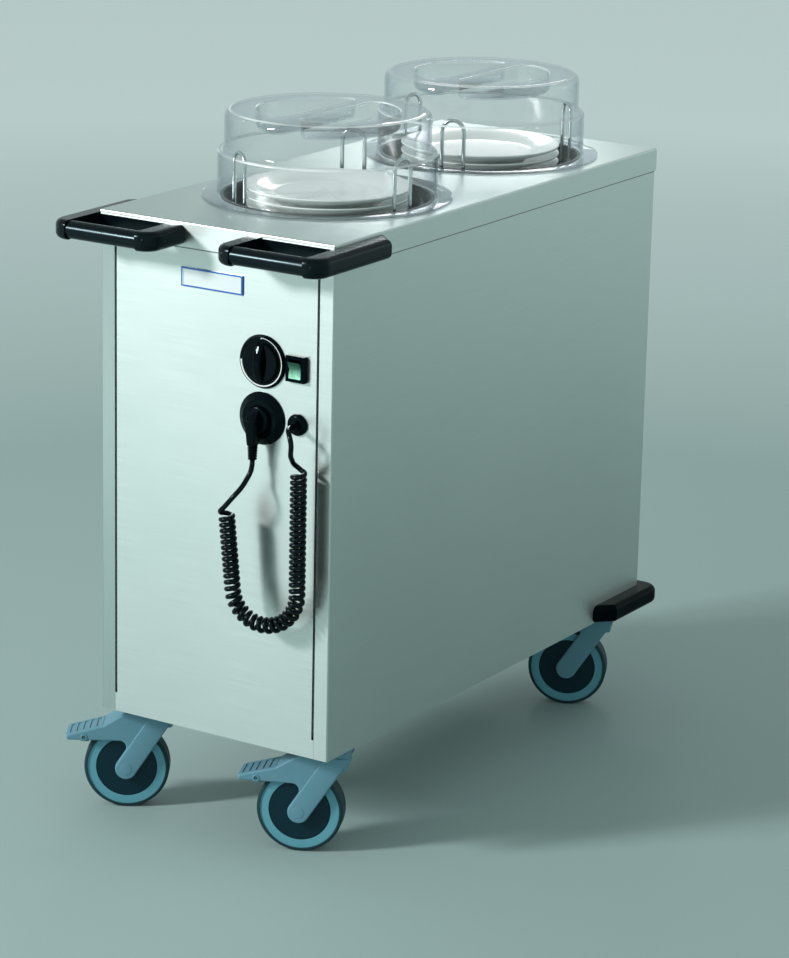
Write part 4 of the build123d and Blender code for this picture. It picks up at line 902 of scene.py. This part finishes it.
moon_outline = half_moon()
print("pocket's outline:", len(moon_outline), "points")

# %% Sinking a pocket
LIP = 3.0 * MM
POCKET_WALL = (1.0 * MM, 17.0 * MM)
POCKET_ROUND = 5.0 * MM
QUARTER = [radians(angle) for angle in (0, 22.5, 45, 67.5, 90)]


def inset_round(radius, way, flat_first=False):
    """Inset the selected face along a quarter circle, up or down."""
    for near, far in zip(QUARTER, QUARTER[1:]):
        run, rise = cos(near) - cos(far), sin(far) - sin(near)
        if flat_first:
            run, rise = rise, run
        bpy.ops.mesh.inset(thickness=radius * run, depth=radius * rise * way)


def pocket(hood, centre, top, side):
    """One half-moon pocket, sunk from a flat outline at the hood's top."""
    moon = begin("pocket", bpy.ops.mesh.primitive_circle_add, vertices=len(moon_outline),
                 radius=POCKET_RADIUS * MM, fill_type="NGON")
    for vertex, point in zip(moon.data.vertices, moon_outline):
        vertex.co = (centre.x + side * point.x * MM, centre.y + point.y * MM, top)
    pick(moon, "FACE", lambda place, normal: normal.z < 0)
    bpy.ops.mesh.flip_normals()
    bpy.ops.mesh.select_all(action="SELECT")
    inset_round(LIP, -1, flat_first=True)
    bpy.ops.mesh.inset(thickness=POCKET_WALL[0], depth=-POCKET_WALL[1])
    inset_round(POCKET_ROUND, -1)
    join(hood, moon)


# %% [markdown]
# The skin is turned, and its circles are rounded. Three flat notches are pressed into the
# flange's edge. The top is filled between its rim and the two pockets, and Solidify then
# gives the whole skin its wall.

# %% Notches
FLANGE_RADIUS = 180
NOTCHES = {"front": (-146, -66, 34), "rear": (-66, 54, 174)}
NOTCH_HALF = 14
NOTCH_DEPTH = 3


def notch(hood, centre, angle):
    """Press one notch into the flange's edge."""
    middle = Vector((cos(radians(angle)), sin(radians(angle))))

    def in_notch(place):
        away = place.xy - centre.xy
        at_edge = away.length > (FLANGE_RADIUS - 0.1) * MM
        return at_edge and abs(away.angle_signed(middle)) < NOTCH_HALF / FLANGE_RADIUS

    shrink = 1 - NOTCH_DEPTH / FLANGE_RADIUS
    pick(hood, "VERT", in_notch)
    bpy.ops.transform.resize(value=(shrink, shrink, 1), center_override=(*centre.xy, 0))


# %% Hoods
TOP_RADIUS = 118
HOOD_OUTLINE = [(FLANGE_RADIUS, 903), (157.5, 903), (157.5, 966), (148, 970), (148, 1025),
                (TOP_RADIUS, 1025)]
HOOD_ROUNDS = [(157.5, 903, 3, 3), (157.5, 966, 2.5, 3), (148, 970, 3, 3), (148, 1025, 12, 7)]
HOOD_STEPS = 192
HOOD_WALL = 2.6 * MM


def clear_hood(well):
    """The hood over one well."""
    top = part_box(f"hood_{well}")[1].z
    centre = middle_of(f"hood_{well}")
    hood = turned(f"clear_hood_{well}", centre, HOOD_OUTLINE, HOOD_STEPS)
    for circle in HOOD_ROUNDS:
        round_off(hood, centre, *circle)
    for angle in NOTCHES[well]:
        notch(hood, centre, angle)
    for side in (1, -1):
        pocket(hood, centre, top, side)
    inside = (TOP_RADIUS + 0.1) * MM
    pick(hood, "EDGE", lambda place: place.z > top - MERGED
         and (place.xy - centre.xy).length < inside)
    bpy.ops.mesh.fill()
    tidy_mesh(hood)
    wall = hood.modifiers.new("wall", "SOLIDIFY")
    wall.thickness = HOOD_WALL
    wall.offset = -1
    wall.use_even_offset = True
    smooth(hood)
    even = hood.modifiers.new("even_normals", "WEIGHTED_NORMAL")
    even.keep_sharp = True
    apply_all(hood)
    paint(clear, hood)
    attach(hood, f"hood_{well}")
    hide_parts(f"hood_{well}", f"hood_grip_{well}")
    return hood


for well in WELLS:
    hood = clear_hood(well)
    print(well, "hood:", len(hood.data.polygons), "faces")

# %% [markdown]
# ### The springs
# Each platform hangs on three tension springs beside its well. A curve could draw their
# coils, but a Screw modifier winds one ring of wire with few faces. It is copied to the
# three places.

# %% Springs
SPRING_CIRCLE = 162 * MM
SPRING_RADIUS = 6 * MM
SPRING_TURNS = 60
TURN_STEPS = 14
WIRE_RADIUS = 0.9 * MM
WIRE_SIDES = 6
SPRING_ANGLES = {"front": (-63, 57, 177), "rear": (-13, 107, 227)}


def hung_springs(well):
    """Three wound springs of one well, as one piece."""
    low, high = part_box(f"springs_{well}")
    length = high.z - low.z
    centre = middle_of(f"well_{well}")
    wire = begin(f"coil_springs_{well}", bpy.ops.mesh.primitive_circle_add, vertices=WIRE_SIDES,
                 radius=WIRE_RADIUS, location=(SPRING_RADIUS, 0, 0), rotation=(pi / 2, 0, 0))
    winding = wire.modifiers.new("winding", "SCREW")
    winding.screw_offset = (length - 2 * WIRE_RADIUS) / SPRING_TURNS
    winding.iterations = SPRING_TURNS
    winding.steps = winding.render_steps = TURN_STEPS
    apply_all(wire)
    for angle in SPRING_ANGLES[well]:
        aside = Vector((cos(radians(angle)), sin(radians(angle)))) * SPRING_CIRCLE
        spot = Vector((*(centre.xy + aside), low.z + WIRE_RADIUS))
        pick(wire, "VERT", lambda place: place.xy.length < 2 * SPRING_RADIUS and place.z < length)
        bpy.ops.mesh.duplicate_move(TRANSFORM_OT_translate={"value": spot})
    pick(wire, "VERT", lambda place: place.z < length)
    bpy.ops.mesh.delete(type="VERT")
    pick(wire, "EDGE")
    bpy.ops.mesh.fill_holes(sides=WIRE_SIDES)
    tidy_mesh(wire)
    smooth(wire, 60)
    paint(metal["spring_wire"], wire)
    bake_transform(wire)
    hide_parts(f"springs_{well}")
    return wire


for well in WELLS:
    springs = hung_springs(well)
    print(well, "springs:", len(springs.data.polygons), "faces")

# %% [markdown]
# ### The fork's legs
# Each leg of a caster's fork is a bar with round edges that stands proud of the fender
# beside it. It starts as a plane cut to the leg's outline, its lower corners are bevelled
# to a full round, and the face is lifted off the fork with insets along a quarter circle.

# %% A leg's bar
FORK_HALF = 24.5 * MM
FORK_HEAD = 30.0 * MM
LEG_HALF = 15.6 * MM
LEG_LEAN = 42.0 * MM
LEG_FOOT = 16.0 * MM
LEG_TOP_DROP = 9.0 * MM
LEG_ROOT = 3.0 * MM
LEG_PROUD = 2.2 * MM
FOOT_ROUND = 15.5 * MM
TOP_ROUND = 6.0 * MM


def lifted(piece, outward, root, rise):
    """Lift a flat face off its root and round its edge."""
    pick(piece, "FACE")
    bpy.ops.mesh.extrude_region_move(TRANSFORM_OT_translate={"value": outward * root})
    inset_round(rise, 1)
    mode("OBJECT")


def leg_bar(fork, axle, forward, outward):
    """The raised bar of one leg, from the axle to the fork's head."""
    head_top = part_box(fork)[1].z
    slant = (UP * (head_top - FORK_HEAD - axle.z) - forward * LEG_LEAN).normalized()
    side = slant.cross(outward)
    face = axle + outward * (FORK_HALF - LEG_ROOT)
    bar = begin("leg_bar", bpy.ops.mesh.primitive_plane_add, size=2 * LEG_HALF)
    for vertex, way, top in zip(bar.data.vertices, (-1, 1, -1, 1), (False, False, True, True)):
        edge = face + side * (way * LEG_HALF)
        along = (head_top - LEG_TOP_DROP - edge.z) / slant.z if top else -LEG_FOOT
        vertex.co = edge + slant * along
    pick(bar, "VERT", lambda place: (place - face).dot(slant) < 0)
    bpy.ops.mesh.bevel(offset=FOOT_ROUND, segments=10, affect="VERTICES")
    pick(bar, "VERT", lambda place: place.z > head_top - LEG_TOP_DROP - MM)
    bpy.ops.mesh.bevel(offset=TOP_ROUND, segments=6, affect="VERTICES")
    lifted(bar, outward, LEG_ROOT, LEG_PROUD)
    return bar


# %% [markdown]
# A low cap marks the axle, and on the braked casters a boss holds the pedal's screw. All
# three are round caps lifted in the same way, and boss and screw have a sunk middle.

# %% Caps and screws
CAP_SIDES = 40
CAP_RADIUS = 8.6 * MM
CAP_PROUD = 0.5 * MM
SUNK_SLOPE = 0.1 * MM
# radius, root and rise, then the lip and the depth of the sunk middle
BOSS = (5.6 * MM, LEG_ROOT, 1.0 * MM, 1.8 * MM, 0.8 * MM)
SCREW = (2.4 * MM, 1.0 * MM, 0.5 * MM, 0.8 * MM, 0.6 * MM)


def round_cap(name, middle, outward, radius, root, rise):
    """A low round cap on a face."""
    turn = outward.to_track_quat("Z", "Y").to_euler()
    cap = begin(name, bpy.ops.mesh.primitive_circle_add, vertices=CAP_SIDES, radius=radius,
                fill_type="NGON", location=middle - outward * root, rotation=turn)
    lifted(cap, outward, root, rise)
    return cap


def sunk_cap(name, middle, outward, radius, root, rise, lip, depth):
    """A round cap with a sunk middle inside a lip."""
    cap = round_cap(name, middle, outward, radius, root, rise)
    pick(cap, "FACE", lambda place, normal: (place - middle).dot(outward) > rise - MERGED)
    bpy.ops.mesh.inset(thickness=lip, depth=0)
    bpy.ops.mesh.inset(thickness=SUNK_SLOPE, depth=-depth)
    return cap


# %% Legs on the forks
def joined(name, parts, finish, body):
    """Several meshes as one named piece on a body."""
    piece = parts[0]
    join(*parts)
    piece.name = name
    tidy_mesh(piece)
    smooth(piece)
    paint(finish, piece)
    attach(piece, body)
    return piece


for name in CASTERS:
    fork = f"fork_{name}"
    kingpin = Vector(joints[f"swivel_{name}"]["pos_m"])
    axle = Vector(joints[f"roll_{name}"]["pos_m"])
    across = Vector(joints[f"roll_{name}"]["axis"]).normalized()
    forward = ((axle - kingpin) * LEVEL).normalized()
    brake = joints.get("brake_" + name.removeprefix("front_"))
    parts, screws = [], []
    for outward in (across, -across):
        parts.append(leg_bar(fork, axle, forward, outward))
        outside = axle + outward * (FORK_HALF + LEG_PROUD)
        parts.append(round_cap("cap", outside, outward, CAP_RADIUS, CAP_PROUD, CAP_PROUD))
        if brake:
            pivot = Vector(brake["pos_m"]) + outward * FORK_HALF
            parts.append(sunk_cap("boss", pivot, outward, *BOSS))
            screws.append(sunk_cap("screw", pivot, outward, *SCREW))
    legs = joined(f"fork_legs_{name}", parts, plastic["fork_grey"], fork)
    if screws:
        heads = joined(f"brake_screws_{name}", screws, metal["screw_dark"], fork)
    print(name, "legs:", len(legs.data.polygons), "faces,", len(screws), "screws")

# %% [markdown]
# ### The plug
# The parked plug is made of simple pieces: a turned head with its pins, a wedge that flares
# to a fold, lifted level by level from its foot, and a ribbed sleeve round the cord.
# Boolean modifiers then unite them into one moulding.

# %% The plug's wedge
PLUG_AXIS = 14.5 * MM
WEDGE_BACK = 8.5
WEDGE_LEVELS = [(-33, 5.8, -6.2), (1.4, 8.2, -8.4), (3, 9.0, -10.0), (15, 4.2, 8.0)]
WEDGE_ROUND = 0.5 * MM


def plug_wedge(middle):
    """The wedge, level by level: height, half its width and its front, in millimetres."""
    wedge = begin("parked_plug", bpy.ops.mesh.primitive_plane_add, size=2 * MM, location=middle)
    pick(wedge, "FACE")
    for step, (height, half, front) in enumerate(WEDGE_LEVELS):
        if step:
            bpy.ops.mesh.extrude_region_move()
        mode("OBJECT")
        for vertex in wedge.data.vertices:
            if vertex.select:
                across = half if vertex.co.x > middle.x else -half
                out = WEDGE_BACK if vertex.co.y > middle.y else front
                vertex.co = middle + Vector((across, out, height)) * MM
        mode("EDIT")
    pick(wedge, "EDGE")
    bpy.ops.mesh.bevel(offset=WEDGE_ROUND, segments=2, affect="EDGES")
    tidy_mesh(wedge)
    return wedge


socket_front = Vector((socket.x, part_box("parking_socket")[0].y, socket.z))
plug_middle = socket_front - Vector((0, PLUG_AXIS, 0))
plug = plug_wedge(plug_middle)
print("wedge:", len(plug.data.polygons), "faces")

# %% The plug's sleeve
SLEEVE = (-53.5, -31.0)
SLEEVE_RADII = (6.4, 7.4)
SLEEVE_RIBS = 6
SLEEVE_STEPS = 48
RIB_STEP = 1.9
RIB_CHAMFER = 0.3
RIB_SHARE, GROOVE_SHARE = 0.55, 0.7


def sleeve_outline(middle):
    """Half the outline of the ribbed sleeve, from its tip up."""
    tip, top = (height + middle / MM for height in SLEEVE)
    rise = (top - tip) / SLEEVE_RIBS
    outline = [(0, tip)]
    for rib in range(SLEEVE_RIBS):
        radius = SLEEVE_RADII[0] + (SLEEVE_RADII[1] - SLEEVE_RADII[0]) * rib / SLEEVE_RIBS
        foot = tip + rib * rise
        outline += [(radius - RIB_STEP, foot), (radius, foot + RIB_CHAMFER)]
        outline.append((radius, foot + RIB_SHARE * rise))
        outline.append((radius - RIB_STEP, foot + GROOVE_SHARE * rise))
    return outline + [(0, top)]


sleeve = turned("sleeve", plug_middle, sleeve_outline(plug_middle.z), SLEEVE_STEPS)
print("sleeve:", len(sleeve.data.polygons), "faces")

# %% Uniting the plug
HEAD_OUTLINE = [(0, -17), (18.5, -17), (18.5, 4.6), (17.6, 6.3), (16, 7), (0, 7)]
HEAD_STEPS = 72
PIN_OUTLINE = [(0, -36), (1.6, -35.6), (2.4, -34.2), (2.4, -16), (0, -16)]
PIN_STEPS = 24
PIN_ASIDE = 9.5 * MM


def unite(piece, other):
    """Unite two solids into the first."""
    union = piece.modifiers.new("union", "BOOLEAN")
    union.operation = "UNION"
    union.object = other
    apply_all(piece)
    alone(other)
    bpy.ops.object.delete()


onto_front = Matrix.Translation(socket_front) @ Matrix.Rotation(pi / 2, 4, "X")
for aside, outline, steps in (
    (0, HEAD_OUTLINE, HEAD_STEPS),
    (PIN_ASIDE, PIN_OUTLINE, PIN_STEPS),
    (-PIN_ASIDE, PIN_OUTLINE, PIN_STEPS),
):
    other = turned("head_or_pin", Vector((aside, 0, 0)), outline, steps)
    other.data.transform(onto_front)
    unite(plug, other)
unite(plug, sleeve)
smooth(plug, 30)
paint(plastic["black_fitting"], plug)
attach(plug, "plug")
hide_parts("plug")
print("plug:", len(plug.data.polygons), "faces")

# %% [markdown]
# ## The dial's scale and the knob's mark
# The scale is printed white on the black ring: a dot at the top, then a band that grows
# clockwise to three quarters of the way round, with three ticks. It is cut from a
# circle as a thin layer on the ring's face.

# %% The scale's band
SCALE_RADIUS = 34.4 * MM
SCALE_STEPS = 144
BAND_THIN = 0.7 * MM
BAND_THICK = 2.6 * MM
BAND_END = 270
dial = middle_of("dial_ring")
dial.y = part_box("dial_ring")[0].y


def clockwise(place):
    """Degrees clockwise from the top of the dial."""
    return degrees(atan2(place.x - dial.x, place.z - dial.z)) % 360


scale = begin("dial_scale", bpy.ops.mesh.primitive_circle_add, vertices=SCALE_STEPS,
              radius=SCALE_RADIUS, location=dial, rotation=(pi / 2, 0, 0))
pick(scale, "VERT", lambda place: clockwise(place) > BAND_END + 0.1)
bpy.ops.mesh.delete(type="VERT")
pick(scale, "EDGE")
bpy.ops.mesh.extrude_edges_move()
mode("OBJECT")
for vertex in scale.data.vertices:
    if vertex.select:
        share = clockwise(vertex.co) / BAND_END
        width = BAND_THIN + (BAND_THICK - BAND_THIN) * share
        vertex.co = dial + (vertex.co - dial) * (1 - width / SCALE_RADIUS)
print("band:", len(scale.data.polygons), "faces")

# %% Ticks and dot
TICKS = (45, 135, 205)
TICK_AT = 33.6 * MM
TICK_SIZE = (0.8 * MM, 3.0 * MM)
DOT_AT = 33.4 * MM
DOT_RADIUS = 1.0 * MM
PRINT = 0.12 * MM


def printed(piece, body):
    """Give a flat piece the thickness and the white of print, on a body."""
    layer = piece.modifiers.new("layer", "SOLIDIFY")
    layer.thickness = PRINT
    layer.offset = 0
    apply_all(piece)
    paint(plastic["white_print"], piece)
    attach(piece, body)


marks = []
for angle in TICKS:
    tick = begin("tick", bpy.ops.mesh.primitive_plane_add, size=1, rotation=(pi / 2, 0, 0))
    tick.data.transform(Matrix.Diagonal((TICK_SIZE[0], 1, TICK_SIZE[1], 1)))
    tick.data.transform(Matrix.Rotation(radians(angle), 4, "Y") @ Matrix.Translation(UP * TICK_AT))
    marks.append(tick)
marks.append(begin("dot", bpy.ops.mesh.primitive_circle_add, vertices=24, radius=DOT_RADIUS,
                   fill_type="NGON", location=UP * DOT_AT, rotation=(pi / 2, 0, 0)))
for mark in marks:
    mark.data.transform(Matrix.Translation(dial))
join(scale, *marks)
tidy_mesh(scale)
printed(scale, "cabinet")
print("scale:", len(scale.data.polygons), "faces")

# %% [markdown]
# The mark on the knob is laid over its ridge with a Shrinkwrap modifier, so that it
# follows the ridge's crown.

# %% Knob mark
MARK_SIZE = (1.8 * MM, 9.0 * MM)
MARK_UP = 19 * MM
MARK_OFF = 5 * MM
MARK_LIFT = 0.05 * MM
mark = begin("knob_mark", bpy.ops.mesh.primitive_grid_add, x_subdivisions=3, y_subdivisions=12,
             size=1, rotation=(pi / 2, 0, 0))
off_knob = (dial.x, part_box("dial_knob")[0].y - MARK_OFF, dial.z + MARK_UP)
mark.data.transform(Matrix.Diagonal((MARK_SIZE[0], 1, MARK_SIZE[1], 1)))
mark.data.transform(Matrix.Translation(off_knob))
lay = mark.modifiers.new("lay", "SHRINKWRAP")
lay.target = frame["nodes"]["dial_knob"]
lay.wrap_method = "PROJECT"
lay.use_project_y = True
lay.use_positive_direction = True
lay.use_negative_direction = True
lay.offset = MARK_LIFT
printed(mark, "dial")
tidy_mesh(mark)
smooth(mark)
print("knob mark:", len(mark.data.polygons), "faces")

# %% [markdown]
# ## The studio
# A plain pale floor runs out of the picture on all sides. It is paler far away, as in a
# pale room.

# %% Floor
FLOOR_NEAR = (0.33, 0.45, 0.435)
FLOOR_FAR = (0.84, 0.96, 0.95)
FLOOR_FADE = (1.8, 5.5)
FLOOR_SIZE = 80
floor = begin("floor", bpy.ops.mesh.primitive_plane_add, size=FLOOR_SIZE)
floor_finish, tree, shader = new_finish("floor", FLOOR_NEAR, 0.7)
away = vector(tree, "LENGTH", where(tree), output="Value")
tint(shader, between(tree, away, 0.0, 1.0, *FLOOR_FADE), FLOOR_NEAR, FLOOR_FAR)
paint(floor_finish, floor)
print("floor is", FLOOR_SIZE, "m wide")

# %% [markdown]
# The key light comes from the left at the front, rather low, as in the picture: handles
# and cord throw their shadows to the right. It is a near lamp, so that the light falls off
# down the front panel, and a distant one in line with it, which reaches the whole floor.
# Two small lamps behind are mirrored by the worktop and by the right wall.

# %% Lamps
KEY_PLACE = (-2.15, -3.25, 2.3)
KEY_TARGET = (0, -0.3, 0.6)
SUN_STRENGTH = 0.8
SUN_WIDTH = radians(8)
# name: place, target, width in metres, watts
LAMPS = {
    "key": (KEY_PLACE, KEY_TARGET, 0.5, 97),
    "worktop_glow": ((-1.7, 3.2, 2.1), (0, 0, 0.9), 0.6, 5.5),
    "side_glow": ((2.7, 4.3, 1.5), (0.2, 0, 0.7), 1.0, 4),
}


def hang_lamp(name, kind, place, target):
    """A lamp that faces a point."""
    lamp = bpy.data.objects.new(name, bpy.data.lights.new(name, kind))
    into_scene(lamp)
    lamp.location = place
    lamp.rotation_euler = (Vector(target) - Vector(place)).to_track_quat("-Z", "Y").to_euler()
    return lamp.data


sun = hang_lamp("room_key", "SUN", KEY_PLACE, KEY_TARGET)
sun.energy = SUN_STRENGTH
sun.angle = SUN_WIDTH
for name, (place, target, width, power) in LAMPS.items():
    soft = hang_lamp(name, "AREA", place, target)
    soft.size = width
    soft.energy = power
print("lamps: sun,", ", ".join(LAMPS))

# %% [markdown]
# The world stands for the pale room: it is brighter near the horizon.

# %% World
HORIZON = (0.58, 0.70, 0.69)
ZENITH = (0.40, 0.45, 0.44)
SKY_FADE = (0.15, 0.6)
world = bpy.data.worlds.new("studio")
world.use_nodes = True
tree = world.node_tree
up = between(tree, along_axis(tree, "Z", "Generated"), 0.0, 1.0, *SKY_FADE)
tint(tree.nodes["Background"], up, HORIZON, ZENITH, "Color")
bpy.context.scene.world = world
bpy.context.scene.view_settings.view_transform = "Standard"
print("world:", len(tree.nodes), "nodes")
